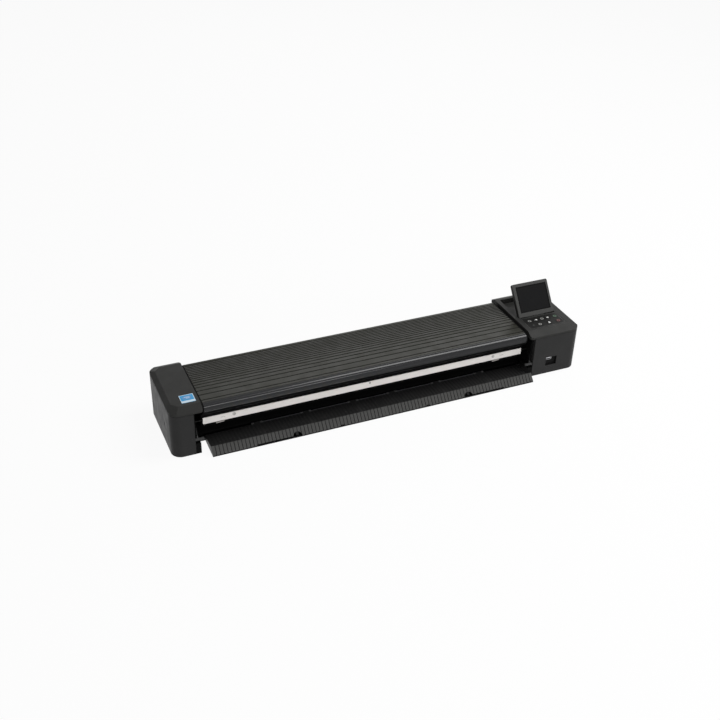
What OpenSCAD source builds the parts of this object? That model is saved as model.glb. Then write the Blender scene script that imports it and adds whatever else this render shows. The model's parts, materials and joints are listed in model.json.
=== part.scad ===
/* [Overall] */
// Width over both end housings
body_w = 832; // [800:1:880]
// Depth of the end housings, front to back
body_d = 164; // [160:1:176]
// Height of the end covers above the table
top_h = 100; // [98:0.5:104]
// Seam between end housing and end cover, as a share of the height
seam_share = 0.875; // [0.86:0.001:0.9]
// Radius of the upright corners of the end housings
corner_r = 19; // [12:0.5:22]
// Wall of the moulded housings and covers
wall = 2.5; // [2:0.1:3]
// Height of the rubber feet below the end housings
foot_h = 1.5; // [1:0.1:2.5]

/* [End housings] */
// Width of the left end housing
left_w = 41.5; // [41:0.5:46]
// Width of the right end housing
right_w = 103.3; // [100:0.1:108]
// Width of the left end cover
left_cover_w = 59; // [57:0.5:60]
// Width of the right end cover
right_cover_w = 113.5; // [112:0.5:116]
// Radius of the covers' inner corners
cover_inner_r = 5; // [3.5:0.5:8]
// Upright band at the foot of each cover
band_h = 4.7; // [3:0.1:6]
// Depth of the cover's front and back slopes
slope_d = 15.3; // [12:0.1:18]
// Width of the cover's outer side slope
slope_w = 8.4; // [6:0.1:11]
// Cut across each outer corner of the cover's top
corner_cut = 10.8; // [8:0.1:14]
// Shadow gap between housing and cover
seam_gap = 0.6; // [0.3:0.1:1]
// Depth of the locating lip of a cover
lip_h = 4; // [3:0.5:6]
// Thickness of the locating lip of a cover
lip_t = 1.5; // [1.2:0.1:2]

/* [Frame] */
// Thickness of each side frame
side_t = 3.5; // [3:0.1:4]
// Front edge of the side frame's plate, behind the housing face
side_front_y = 8; // [7:0.5:10]
// Rear edge of the side frames and of the base, in from the housing's rear face
frame_back_in = 6; // [5:0.5:8]
// Width of the side frame's front foot block
block_w = 10; // [8:0.5:11]
// Height of the side frame's front foot block above the housing's underside
block_h = 22; // [18:0.5:22]
// Depth of the side frame's front foot block
block_d = 29; // [24:0.5:29]
// Sheet thickness of the base pan
pan_t = 1.6; // [1.2:0.1:2]
// Front edge of the base pan
pan_front_y = 31; // [30:0.2:31.4]
// Height of the pan's front lip above the table
pan_lip_h = 8.5; // [6:0.1:8.6]
// Clearance of the base pan above the table
pan_clear = 3; // [2.5:0.1:3.4]

/* [Paper path] */
// Height of the paper plane above the table
paper_z = 24; // [23.5:0.1:25]
// Radius of the drive roller tyres
drive_r = 9; // [8.5:0.1:9.3]
// Radius of the drive roller shafts
drive_shaft_r = 4; // [3.5:0.1:4.5]
// Radius of the pressure roller tyres
press_r = 6; // [5:0.1:6.5]
// Radius of the pressure roller shafts
press_shaft_r = 3; // [2.5:0.1:3.5]
// Gap left for paper between the rollers
nip_gap = 0.3; // [0.3:0.05:0.6]
// Front rollers, as a share of the depth
roll_front_share = 0.37805; // [0.372:0.001:0.384]
// Rear rollers, as a share of the depth
roll_back_share = 0.68293; // [0.677:0.001:0.689]
// Rollers tyres on each shaft
tyre_count = 6; // [4:1:8]
// Spacing of the tyres along a shaft, as a share of the lid's width
tyre_pitch_share = 0.15385; // [0.1:0.001:0.155]
// Width of a drive tyre
drive_tyre_w = 20; // [16:0.5:24]
// Width of a pressure tyre
press_tyre_w = 16; // [12:0.5:20]
// Radial running clearance of shafts and pins
run_gap = 0.05; // [0.03:0.01:0.08]
// Clearance between pieces that move past each other
move_gap = 0.4; // [0.3:0.05:0.6]
// Clearance between fixed pieces
fit_gap = 0.2; // [0.1:0.05:0.3]

/* [Gear train] */
// Tooth module of the gears, as a share of the rollers' spacing
gear_share = 0.02; // [0.0196:0.0001:0.0204]
// Teeth of each roller gear
roller_teeth = 18; // [18:2:20]
// Teeth of the idler gear
idler_teeth = 44; // [42:2:46]
// Teeth of the motor pinion
pinion_teeth = 16; // [16:1:18]
// Face width of the gears
gear_w = 6; // [5:0.5:7]
// Backlash at the pitch circle
backlash = 0.12; // [0.08:0.01:0.2]
// Gap between the side frame and the gears
gear_off = 2; // [1.5:0.1:3]
// Side of the square motor
motor_w = 28; // [26:1:30]
// Length of the motor
motor_l = 22; // [18:1:23]
// Radius of the motor shaft
motor_shaft_r = 2.5; // [2:0.1:3]

/* [Lid] */
// Gap between the left cover and the lid
lid_gap_left = 1; // [0.8:0.1:2]
// Gap between the lid and the right cover
lid_gap_right = 3.5; // [2:0.1:4]
// Front edge of the ribbed panel
panel_front_y = 17; // [16:0.5:18]
// Rear edge of the ribbed panel, in from the housing's rear face
panel_back_in = 17; // [16:0.5:18]
// Panel's front edge, as a share of the height
panel_front_share = 0.968; // [0.95:0.001:0.975]
// Panel's rear edge, as a share of the height
panel_back_share = 0.957; // [0.94:0.001:0.965]
// Thickness of the ribbed panel
panel_t = 3; // [2.5:0.1:3.5]
// Number of grooves along the panel
groove_count = 16; // [8:1:17]
// Depth of a groove
groove_h = 1.4; // [0.6:0.1:1.6]
// Width of a groove at the surface
groove_w = 2.4; // [1.2:0.1:2.6]
// Smooth band from the panel's front edge to the first groove
groove_first = 7; // [5:0.5:9]
// Widest land between grooves, at the front, as a share of the panel's depth
land_front_share = 0.12692; // [0.11:0.001:0.13]
// Narrowest land between grooves, at the rear, as a share of the panel's depth
land_back_share = 0.03808; // [0.035:0.0005:0.04]
// How much each land shrinks towards the narrowest
land_ratio_share = 0.72; // [0.6:0.01:0.75]
// Thickness of the lid's end plates
end_t = 2.5; // [2:0.1:3]
// Lid hinge axis, in from the housing's rear face
lid_axis_in = 18; // [17:0.5:19]
// Lid hinge axis, as a share of the height
lid_axis_share = 0.82; // [0.8:0.001:0.825]
// Radius of the lid hinge pins
lid_pin_r = 3; // [2.5:0.1:3.5]
// Radius of the knuckle round the lid hinge pin
lid_knuckle_r = 5; // [4.5:0.1:5.4]

/* [Lid front] */
// Most forward line of the nose, behind the housing face
nose_y = 7.6; // [5:0.2:9]
// Height at which the nose turns upright, as a share of the height
nose_turn_share = 0.9; // [0.87:0.001:0.92]
// Line between the nose's two bands, as a share of the height
nose_line_share = 0.826; // [0.8:0.001:0.84]
// Height at which the nose's lower band turns under, as a share of the height
nose_low_share = 0.77; // [0.74:0.001:0.79]
// Underside of the nose, as a share of the height
nose_under_share = 0.67; // [0.64:0.001:0.69]
// Wall of the nose trim
nose_t = 2.2; // [1.8:0.1:2.6]
// Front face of the white strip
strip_y = 23; // [22.5:0.1:24]
// Lower edge of the white strip, as a share of the height
strip_low_share = 0.45; // [0.43:0.001:0.47]
// Height of the white strip, as a share of the height
strip_height_share = 0.135; // [0.1:0.001:0.15]
// Thickness of the white strip
strip_t = 1.2; // [0.8:0.1:1.6]
// Wall of the throat guide behind the strip
guide_t = 2; // [1.6:0.1:2.4]

/* [Scanning unit] */
// Width of the scan glass, front to back, as a share of the rollers' spacing
glass_share = 0.64; // [0.6:0.01:0.66]
// Thickness of the scan glass
glass_t = 2.5; // [2:0.1:3]
// Gap between the paper plane and the glass
glass_gap = 0.8; // [0.6:0.1:1.2]
// Wall of the scan head housing
head_t = 2.5; // [2:0.1:3]
// Height of a sensor module
sensor_h = 15; // [12:0.5:18]
// Width of a sensor module, front to back, as a share of the rollers' spacing
sensor_share = 0.22; // [0.2:0.01:0.23]
// Overlap of neighbouring sensor modules
sensor_lap = 8; // [4:0.5:14]

/* [Tray] */
// Left end of the tray, from the body's left face
tray_left_x = 66.5; // [64:0.5:68]
// Right end of the tray, from the body's right face
tray_right_in = 109.5; // [108:0.5:116]
// Seam between the tray's halves, as a share of the tray's width
tray_seam_share = 0.5122; // [0.49:0.001:0.53]
// Gap between the tray's halves
tray_seam_gap = 0.4; // [0.3:0.1:0.8]
// Tray hinge axis, behind the housing face
tray_axis_y = 36.5; // [36:0.1:37]
// Tray hinge axis above the table
tray_axis_z = 11.3; // [11:0.1:11.8]
// Radius of the tray hinge rod
tray_rod_r = 1.5; // [1.2:0.1:1.6]
// Radius of the tray's knuckles
tray_knuckle_r = 2.9; // [2.7:0.1:3]
// Width of a tray knuckle
tray_knuckle_w = 12; // [8:0.5:16]
// Depth of the tray's flat part
tray_flat_d = 40; // [36:0.5:42]
// Rise of the flat part to the crease
tray_rise = 2.8; // [1:0.1:4]
// Length of the sloping lip
lip_len = 17.4; // [14:0.1:17.6]
// Slope of the lip below the horizontal
lip_angle = 48; // [44:1:50]
// Thickness of the tray
tray_t = 2.2; // [1.8:0.1:2.4]
// Spacing of the ribs across the lip
rib_pitch = 7; // [6:0.5:10]
// Depth of the grooves between the lip's ribs
rib_h = 0.7; // [0.4:0.1:1]
// Depth of the grooves in the flat part
flat_rib_h = 0.25; // [0.2:0.05:0.4]
// Width of the grooves between ribs
rib_gap_w = 1.6; // [1.2:0.1:2.4]
// How far the lip reaches past the flat part at its right end
lip_over_right = 10.6; // [10.4:0.1:14]
// Distance of a finger notch from the seam, as a share of half the tray's width
notch_share = 0.53659; // [0.46:0.001:0.6]
// Radius of a finger notch
notch_r = 9; // [7:0.5:10]

/* [Display] */
// Width of the display housing
display_w = 79.7; // [76:0.1:80]
// Room behind and before the folded display in its recess
display_room = 12.3; // [11.5:0.1:16]
// Thickness of the display housing
display_t = 9; // [8.6:0.1:9.2]
// Tilt of the display's face from the horizontal
display_tilt = 53.7; // [40:0.1:60]
// Width of the screen window
screen_w = 69; // [64:0.5:70]
// Bezel above the screen window
bezel_high = 6.5; // [5.5:0.5:10]
// Bezel below the screen window
bezel_low = 8.5; // [7:0.5:10]
// Bezel at the left of the screen window
bezel_left = 6; // [4.5:0.5:6.5]
// Display hinge axis, behind the recess's front wall
display_axis_in = 4.3; // [3.8:0.1:5]
// Radius of the display hinge rod
display_rod_r = 1.5; // [1.2:0.1:1.6]
// Radius of the display's knuckles
display_knuckle_r = 3.6; // [3.2:0.1:3.8]
// Width of a display knuckle
display_knuckle_w = 12; // [8:0.5:14]
// Distance from the hinge axis to the display's lower edge
display_off = 2.8; // [2.6:0.1:3.2]
// How far the folded display lies below the cover's top
display_sink = 0.3; // [0.2:0.1:0.6]

/* [Control panel] */
// Left edge of the display recess, from the body's right face
recess_left = 104.5; // [104.2:0.1:105]
// Right edge of the display recess, from the body's right face
recess_right = 23.2; // [22:0.1:23.5]
// Front wall of the display recess, as a share of the depth
recess_front_share = 0.38415; // [0.382:0.001:0.386]
// Back wall of the display recess, as a share of the depth
recess_back_share = 0.87378; // [0.866:0.001:0.878]
// Front edge of the keypad overlay, as a share of the depth
overlay_front_share = 0.11585; // [0.11:0.001:0.128]
// Thickness of the keypad overlay
overlay_t = 1; // [0.8:0.1:1.2]
// Length of a key across the panel
key_w = 10.4; // [8:0.1:11]
// Length of a key front to back
key_d = 9.4; // [8:0.1:11]
// How far a key stands above the panel
key_proud = 0.3; // [0.2:0.05:0.6]
// Travel of a key
key_travel = 0.6; // [0.4:0.05:0.7]
// Rear row of keys, as a share of the depth
key_row_back_share = 0.29268; // [0.287:0.001:0.299]
// Front row of keys, as a share of the depth
key_row_front_share = 0.1878; // [0.183:0.001:0.195]

/* [Sockets] */
// Left edge of the front socket recess, from the body's right face
port_left = 73.2; // [71:0.1:76]
// Width of the front socket recess
port_w = 24.5; // [22:0.5:27]
// Lower edge of the front socket recess above the table
port_z = 19.6; // [18:0.2:21]
// Height of the front socket recess
port_h = 19; // [17.5:0.5:20]
// Depth of the front socket recess
port_d = 5; // [4.5:0.1:6]
// Height of the main board above the table
board_z = 29; // [28:0.1:29.4]
// Thickness of the circuit boards
board_t = 1.6; // [1.2:0.1:1.8]

/* [Latches] */
// Latch pivot, behind the housing face
latch_y = 14; // [13.5:0.1:15]
// Latch pivot, as a share of the height
latch_pivot_share = 0.46; // [0.44:0.001:0.48]
// Finger bar of the latch, behind the housing face
bar_y = 3.4; // [3:0.1:4]
// Finger bar of the latch above the table
bar_z = 30.3; // [29:0.1:32]
// Radius of the finger bar
bar_r = 2.6; // [2:0.1:2.8]
// Thickness of the latch lever
latch_t = 1.8; // [1.5:0.1:1.9]
// Cross pin of the latch, as a share of the height
latch_pin_share = 0.56; // [0.54:0.001:0.57]
// Radius of the latch's cross pin
latch_pin_r = 1.5; // [1.2:0.1:1.8]

/* [Hidden] */
// Overrun of every cut
over = 0.5;
// Clear round edges of the exact curves
$fn = 48;

// Heights and depths that follow the whole height and depth
seam_h = top_h * seam_share;
panel_front_z = top_h * panel_front_share;
panel_back_z = top_h * panel_back_share;
lid_axis_z = top_h * lid_axis_share;
nose_turn_z = top_h * nose_turn_share;
nose_line_z = top_h * nose_line_share;
nose_low_z = top_h * nose_low_share;
nose_under_z = top_h * nose_under_share;
strip_low_z = top_h * strip_low_share;
strip_h = top_h * strip_height_share;
latch_z = top_h * latch_pivot_share;
latch_pin_z = top_h * latch_pin_share;
frame_back_y = body_d - frame_back_in;
panel_back_y = body_d - panel_back_in;
lid_axis_y = body_d - lid_axis_in;
roll_front_y = body_d * roll_front_share;
roll_back_y = body_d * roll_back_share;
roll_space = roll_back_y - roll_front_y;
recess_front_y = body_d * recess_front_share;
recess_back_y = body_d * recess_back_share;
overlay_front_y = body_d * overlay_front_share;
key_row_back_y = body_d * key_row_back_share;
key_row_front_y = body_d * key_row_front_share;
display_h = recess_back_y - recess_front_y - display_room;
screen_h = display_h - bezel_low - bezel_high;
display_axis_y = recess_front_y + display_axis_in;
gear_m = roll_space * gear_share;
glass_d = roll_space * glass_share;
sensor_d = roll_space * sensor_share;
land_front = (panel_back_y - panel_front_y) * land_front_share;
land_back = (panel_back_y - panel_front_y) * land_back_share;
tray_right_x = body_w - tray_right_in;
tray_seam_x = tray_left_x + (tray_right_x - tray_left_x) * tray_seam_share;
notch_off = (tray_right_x - tray_left_x) / 2 * notch_share;

edge_z = seam_h + band_h;
left_plate_x = left_w;
left_plate_in = left_w + side_t;
right_plate_x = body_w - right_w;
right_plate_in = right_plate_x - side_t;
lid_x0 = left_cover_w + lid_gap_left;
lid_x1 = body_w - right_cover_w - lid_gap_right;
ext_x0 = lid_x0 + end_t;
ext_x1 = lid_x1 - end_t;
ext_w = ext_x1 - ext_x0;
mid_x = (ext_x0 + ext_x1) / 2;
tyre_pitch = ext_w * tyre_pitch_share;

drive_z = paper_z - drive_r;
press_z = paper_z + nip_gap + press_r;
tyre_half = (tyre_count - 1) * tyre_pitch / 2;
glass_z = paper_z + glass_gap;
glass_y = (roll_front_y + roll_back_y) / 2;

// Lip of the tray seen from the side
flat_angle = asin(tray_rise / tray_flat_d);
flat_back_y = tray_axis_y - tray_knuckle_r - move_gap;
crease_y = flat_back_y - tray_flat_d * cos(flat_angle);
crease_z = tray_axis_z + tray_t * 0.8 + tray_rise;
reach_y = crease_y - lip_len * cos(lip_angle);

// The frame's origin: middle of the footprint, tray included, on the table
frame_x = body_w / 2;
frame_y = (body_d + reach_y) / 2;

// Gear places, seen along the shafts
idler_y = (roll_front_y + roll_back_y) / 2;
idler_reach = gear_m * (roller_teeth + idler_teeth) / 2;
idler_z = drive_z + sqrt(pow(idler_reach, 2) - pow((roll_back_y - roll_front_y) / 2, 2));
pinion_z = idler_z + gear_m * (pinion_teeth + idler_teeth) / 2;
gear_x1 = left_w - gear_off;
gear_x0 = gear_x1 - gear_w;
roller_gear_angle = atan2(idler_z - drive_z, idler_y - roll_front_y);

display_axis_z = top_h - display_sink - display_t / 2;
display_x0 = body_w - recess_left + (recess_left - recess_right - display_w) / 2;
tub_t = 1.4;
recess_floor = display_axis_z - display_t / 2 - tub_t;

// Moves a piece from the body's front left corner to the frame's origin
module placed() {
    translate([-frame_x, -frame_y, 0]) children();
}

// Mirrors a piece of the left end to the right end of the body
module at_right() {
    translate([body_w, 0, 0]) mirror([1, 0, 0]) children();
}

// Extrudes a side view (front to back, height) along the body's width
module along(x0, x1) {
    translate([x0, 0, 0]) rotate([90, 0, 90]) linear_extrude(x1 - x0) children();
}

// Round bar along the body's width
module bar(x0, x1, y, z, r) {
    translate([x0, y, z]) rotate([0, 90, 0]) cylinder(h = x1 - x0, r = r);
}

// Rectangle with round corners, lower left corner at the origin
module round_rect(w, h, r) {
    translate([r, 0]) square([w - 2 * r, h]);
    translate([0, r]) square([w, h - 2 * r]);
    for (x = [r, w - r], y = [r, h - r]) translate([x, y]) circle(r);
}

// Plan of an end housing: round outer corners, square inner side
module end_plan(w, inset) {
    d = body_d - 2 * inset;
    r = corner_r - inset;
    translate([inset, inset]) {
        translate([r, 0]) square([w - r - inset, d]);
        translate([0, r]) square([w - inset, d - 2 * r]);
        for (y = [r, d - r]) translate([r, y]) circle(r);
    }
}

// Hollow end housing with a window in its inner wall
module end_shell(w, window_h) {
    floor_z = foot_h + wall;
    difference() {
        translate([0, 0, foot_h]) linear_extrude(seam_h - foot_h) end_plan(w, 0);
        translate([0, 0, floor_z]) linear_extrude(seam_h) intersection() {
            end_plan(w, wall);
            translate([0, 0]) square([w - wall, body_d]);
        }
        translate([w - wall - over, corner_r, foot_h + wall])
            cube([wall + 2 * over, body_d - 2 * corner_r, window_h]);
    }
}

// Side view of the space above a sloping edge that starts at height z0
module above_slope(z0, run, rise) {
    s = rise / run;
    polygon([[-over, z0 - over * s], [-over, top_h + over], [(top_h + over - z0) / s, top_h + over]]);
}

// Plan of an end cover: as its housing's, with round inner corners
module cover_plan(w, inset) {
    intersection() {
        end_plan(w + 2 * corner_r, inset);
        union() {
            square([w - cover_inner_r, body_d]);
            translate([0, cover_inner_r]) square([w - inset, body_d - 2 * cover_inner_r]);
            for (y = [cover_inner_r, body_d - cover_inner_r])
                translate([w - cover_inner_r, y]) circle(cover_inner_r - inset);
        }
    }
}

// Solid with sloping front, back, side and corners, drawn in by an inset
module cap_solid(w, z0, inset) {
    rise = top_h - edge_z;
    front_drop = inset / cos(atan(rise / slope_d));
    side_drop = inset / cos(atan(rise / slope_w));
    corner_run = (corner_cut + slope_w + slope_d - 2 * corner_r * (1 - cos(45))) / sqrt(2);
    corner_drop = inset / cos(atan(rise / corner_run));
    corner_start = (corner_cut + slope_w + slope_d) / sqrt(2) - corner_run;
    difference() {
        translate([0, 0, z0]) linear_extrude(top_h - inset - z0) cover_plan(w, inset);
        for (back = [0, 1]) translate([0, back * body_d, 0]) mirror([0, back, 0]) {
            along(-over, w + over) above_slope(edge_z - front_drop, slope_d, rise);
            rotate([0, 0, 45]) translate([corner_start, body_d, 0]) rotate([90, 0, 0])
                linear_extrude(2 * body_d) above_slope(edge_z - corner_drop, corner_run, rise);
        }
        translate([0, body_d + over, 0]) rotate([90, 0, 0]) linear_extrude(body_d + 2 * over)
            above_slope(edge_z - side_drop, slope_w, rise);
    }
}

// Ring inside the housing's rim that locates a cover
module cover_lip(w) {
    out = wall + fit_gap;
    difference() {
        union() {
            translate([0, 0, seam_h - lip_h]) linear_extrude(lip_h + band_h) end_plan(w, out);
            translate([0, 0, seam_h + seam_gap]) linear_extrude(band_h - seam_gap) end_plan(w, wall / 2);
        }
        translate([0, 0, seam_h - lip_h - over])
            linear_extrude(lip_h + band_h + 2 * over) end_plan(w + 2 * out, out + lip_t);
        translate([w - out - over, -over, seam_h - lip_h - over])
            cube([w, body_d + 2 * over, lip_h + band_h + 2 * over]);
    }
}

// End cover: sloping shell with its locating lip
module end_cover(w, housing_w) {
    difference() {
        cap_solid(w, seam_h + seam_gap, 0);
        cap_solid(w, seam_h - over, wall);
    }
    cover_lip(housing_w);
}

module left_end_housing() {
    slot_y = 51.3;
    slot_z = 44.4;
    slot_w = 3;
    slot_h = 7;
    color("#4a4a48") placed() difference() {
        end_shell(left_w, seam_h);
        translate([-over, slot_y - slot_w / 2, slot_z - slot_h / 2]) cube([wall + 2 * over, slot_w, slot_h]);
        housing_screw_holes(left_w);
    }
}

module right_end_housing() {
    color("#4a4a48") placed() difference() {
        union() {
            at_right() end_shell(right_w, seam_h);
            translate([body_w - port_left - wall, wall / 2, port_z - wall])
                cube([port_w + 2 * wall, port_d + wall / 2, port_h + 2 * wall]);
            board_posts();
        }
        translate([body_w - port_left, -over, port_z]) cube([port_w, port_d + over, port_h]);
        translate([usb_x - fit_gap, 0, usb_z - fit_gap])
            cube([usb_w + 2 * fit_gap, port_d + wall + over, usb_h + 2 * fit_gap]);
        rear_socket_holes();
        at_right() housing_screw_holes(right_w);
    }
}

module left_end_cover() {
    color("#3e3e3d") placed() end_cover(left_cover_w, left_w);
}

// Tub of the display recess and the keypad's inset, cut from the right cover
module right_end_cover() {
    x0 = body_w - recess_left;
    x1 = body_w - recess_right;
    color("#3e3e3d") placed() difference() {
        union() {
            at_right() end_cover(right_cover_w, right_w);
            translate([x0 - tub_t, recess_front_y - tub_t, recess_floor - tub_t])
                cube([x1 - x0 + 2 * tub_t, recess_back_y - recess_front_y + 2 * tub_t,
                    top_h - wall / 2 - recess_floor + tub_t]);
        }
        translate([x0, recess_front_y, recess_floor])
            cube([x1 - x0, recess_back_y - recess_front_y, top_h]);
        translate([x0, overlay_front_y, top_h - overlay_t]) linear_extrude(overlay_t + over)
            round_rect(x1 - x0, recess_front_y - tub_t - overlay_front_y, corner_small);
        for (k = KEYS) translate([k[0], k[1], seam_h])
            linear_extrude(top_h) key_plan(move_gap);
        translate([light_x, light_y, seam_h]) cylinder(h = top_h, r = light_r);
        bar(x0 - tub_t - over, x1 + tub_t + over, display_axis_y, display_axis_z, display_rod_r);
    }
}

// Places of the keys: across the panel and front to back
corner_small = 2;
key_back_off = [90.7, 76, 62.4, 49, 32.5];
key_front_off = [76.7, 55.8, 34.6];
KEYS = concat(
    [for (o = key_back_off) [body_w - o, key_row_back_y]],
    [for (o = key_front_off) [body_w - o, key_row_front_y]]);
key_r = 1.5;
key_gap = 0.3;
light_r = 1.2;
light_x = body_w - key_back_off[0];
light_y = key_row_front_y + light_r;

module key_plan(grow) {
    translate([-key_w / 2 - grow, -key_d / 2 - grow]) round_rect(key_w + 2 * grow, key_d + 2 * grow, key_r + grow);
}

// Key cap with a retaining flange under the cover's skin
module key(k) {
    flange = 0.9;
    flange_t = 1;
    skin_low = top_h - wall - key_gap;
    color(k == 4 ? "#2f6b3c" : k == 7 ? "#8c2f2c" : "#3a3a3a") placed() translate([KEYS[k][0], KEYS[k][1], 0]) {
        translate([0, 0, skin_low]) linear_extrude(top_h + key_proud - skin_low) key_plan(0);
        translate([0, 0, skin_low - flange_t]) linear_extrude(flange_t) key_plan(flange);
    }
}

module key_home() { key(0); }
module key_left() { key(1); }
module key_menu() { key(2); }
module key_down() { key(3); }
module key_start() { key(4); }
module key_back() { key(5); }
module key_up() { key(6); }
module key_stop() { key(7); }

module keypad_overlay() {
    x0 = body_w - recess_left + fit_gap;
    x1 = body_w - recess_right - fit_gap;
    y1 = recess_front_y - tub_t - fit_gap;
    color("#333333") placed() difference() {
        translate([x0, overlay_front_y + fit_gap, top_h - overlay_t]) linear_extrude(overlay_t)
            round_rect(x1 - x0, y1 - overlay_front_y - fit_gap, corner_small);
        for (k = KEYS) translate([k[0], k[1], top_h - wall]) linear_extrude(2 * wall) key_plan(move_gap);
        translate([light_x, light_y, top_h - wall]) cylinder(h = 2 * wall, r = light_r);
    }
}

module status_light() {
    color("#9fb8a0") placed() translate([light_x, light_y, keypad_z + board_t])
        cylinder(h = top_h - keypad_z - board_t, r = light_r - fit_gap / 2);
}

// Keypad board with one switch dome under each key and two posts up to the skin
keypad_deep = 5;
keypad_z = top_h - wall - key_travel - keypad_deep;
dome_r = 2.5;
dome_h = 2;
module keypad_board() {
    x0 = body_w - recess_left + wall;
    x1 = body_w - recess_right - wall;
    y0 = overlay_front_y + wall;
    y1 = recess_front_y - 2 * wall;
    post_r = 1.5;
    color("#1f5a3a") placed() {
        translate([x0, y0, keypad_z]) cube([x1 - x0, y1 - y0, board_t]);
        for (k = KEYS) translate([k[0], k[1], keypad_z + board_t]) cylinder(h = dome_h, r = dome_r);
        for (x = [x0 + 2 * post_r, x1 - 2 * post_r])
            translate([x, (key_row_front_y + key_row_back_y) / 2, keypad_z + board_t])
                cylinder(h = top_h - wall - keypad_z - board_t, r = post_r);
    }
}

// Sizes of the front data socket
usb_w = 13.1;
usb_h = 5.8;
usb_l = 14;
usb_shell = 0.5;
usb_in = 1.6;
usb_x = body_w - port_left + usb_in;
usb_z = board_z + board_t;
usb_out = 1;
usb_y = port_d - usb_out;

module usb_host_socket() {
    tongue_h = 1.9;
    color("#b9bcc0") placed() {
        difference() {
            translate([usb_x, usb_y, usb_z]) cube([usb_w, usb_l, usb_h]);
            translate([usb_x + usb_shell, usb_y - over, usb_z + usb_shell])
                cube([usb_w - 2 * usb_shell, usb_l - usb_shell + over, usb_h - 2 * usb_shell]);
        }
        translate([usb_x + 2 * usb_shell, usb_y + usb_shell, usb_z + usb_h - 2 * usb_shell - tongue_h])
            cube([usb_w - 4 * usb_shell, usb_l - usb_shell, tongue_h]);
    }
}

// Rear sockets on the main board: network, data and power, left to right from behind
socket_shares = [0.28, 0.52, 0.76];
network_w = 16;
network_h = 13.5;
data_w = 12;
data_h = 11;
power_w = 9;
power_h = 11;
socket_l = 14;
socket_out = 0.6;
socket_y = body_d - wall - socket_l + socket_out;
function socket_x(k) = body_w - right_w + right_w * socket_shares[k];
SOCKETS = [
    [socket_x(0), power_w, power_h],
    [socket_x(1), data_w, data_h],
    [socket_x(2), network_w, network_h]
];

module rear_socket_holes() {
    for (s = SOCKETS) translate([s[0] - s[1] / 2 - fit_gap, body_d - 2 * wall, board_z + board_t - fit_gap])
        cube([s[1] + 2 * fit_gap, 3 * wall, s[2] + 2 * fit_gap]);
}

module rear_sockets() {
    mouth = 1.4;
    jack_r = 3.2;
    pin_r = 1;
    depth = socket_l - 2 * mouth;
    color("#26272a") placed() difference() {
        for (s = SOCKETS) translate([s[0] - s[1] / 2, socket_y, board_z + board_t]) cube([s[1], socket_l, s[2]]);
        for (k = [1, 2]) translate([SOCKETS[k][0] - SOCKETS[k][1] / 2 + mouth, socket_y + 2 * mouth,
            board_z + board_t + mouth])
            cube([SOCKETS[k][1] - 2 * mouth, depth + over, SOCKETS[k][2] - 2 * mouth - (k == 2 ? 2 * mouth : 0)]);
        translate([SOCKETS[0][0], socket_y + socket_l + over, board_z + board_t + power_h / 2]) rotate([90, 0, 0])
            difference() {
                cylinder(h = depth + over, r = jack_r);
                cylinder(h = depth + over, r = pin_r);
            }
    }
}

// Posts that carry the main board on the housing's floor
board_gap = 2;
board_x0 = body_w - right_w + wall + board_gap;
board_x1 = body_w - wall - board_gap;
board_y0 = 2 * port_d;
board_y1 = body_d - wall - board_gap;
post_in = 6;
module board_posts() {
    post_r = 3;
    for (x = [board_x0 + post_in, board_x1 - 2 * post_in], y = [board_y0 + 2 * post_in, board_y1 - 2 * post_in])
        translate([x, y, foot_h + wall / 2]) cylinder(h = board_z - foot_h - wall / 2, r = post_r);
}

module main_board() {
    chip = 22;
    chip_t = 2.4;
    coil_w = 14;
    coil_h = 8;
    color("#1f5a3a") placed() {
        translate([0, 0, board_z]) linear_extrude(board_t) intersection() {
            translate([body_w, 0]) mirror([1, 0]) end_plan(right_w, wall + board_gap);
            translate([board_x0, board_y0]) square([board_x1 - board_x0, board_y1 - board_y0]);
        }
        translate([board_x0 + chip, board_y0 + 2 * chip, board_z + board_t]) cube([chip, chip, chip_t]);
        translate([board_x0 + chip, board_y0 + 4 * chip, board_z + board_t]) cube([2 * coil_w, coil_w, coil_h]);
    }
}

// Rubber feet: places across and front to back, under the housings and the pan
foot_r = 8;
foot_in = 24;
foot_front_y = foot_in;
foot_back_y = body_d - foot_in;
module rubber_feet() {
    color("#1c1c1c") placed() {
        for (x = [left_w / 2, body_w - right_w / 2], y = [foot_front_y, foot_back_y])
            translate([x, y, 0]) cylinder(h = foot_h, r = foot_r);
        for (y = [foot_front_y * 2, foot_back_y]) translate([mid_x, y, 0]) cylinder(h = pan_clear, r = foot_r);
    }
}

screw_r = 1.5;
screw_head_r = 3;
screw_head_h = 1.6;
screw_in = 8;
tab_w = 14;
tab_t = 3;
tab_shares = [0.2134, 0.8232];
tab_ys = body_d * tab_shares;
function screw_spots(w) = [for (y = tab_ys) [w - screw_in, y]];

module housing_screw_holes(w) {
    for (p = screw_spots(w)) translate([p[0], p[1], foot_h - over]) {
        cylinder(h = wall + 2 * over, r = screw_r);
        cylinder(h = screw_head_h + over, r = screw_head_r);
    }
}

module screws(w) {
    for (p = screw_spots(w)) translate([p[0], p[1], foot_h]) {
        cylinder(h = screw_head_h, r = screw_head_r);
        cylinder(h = wall + tab_t, r = screw_r);
    }
}

module housing_screws() {
    color("#2b2b2b") placed() {
        screws(left_w);
        at_right() screws(right_w);
    }
}

label_w = 25.5;
label_d = 24;
label_t = 0.3;
label_x = 27.4;
label_y = 21.8;
module energy_label() {
    color("#64aad7") placed() translate([label_x, label_y, top_h]) cube([label_w, label_d, label_t]);
}

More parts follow.
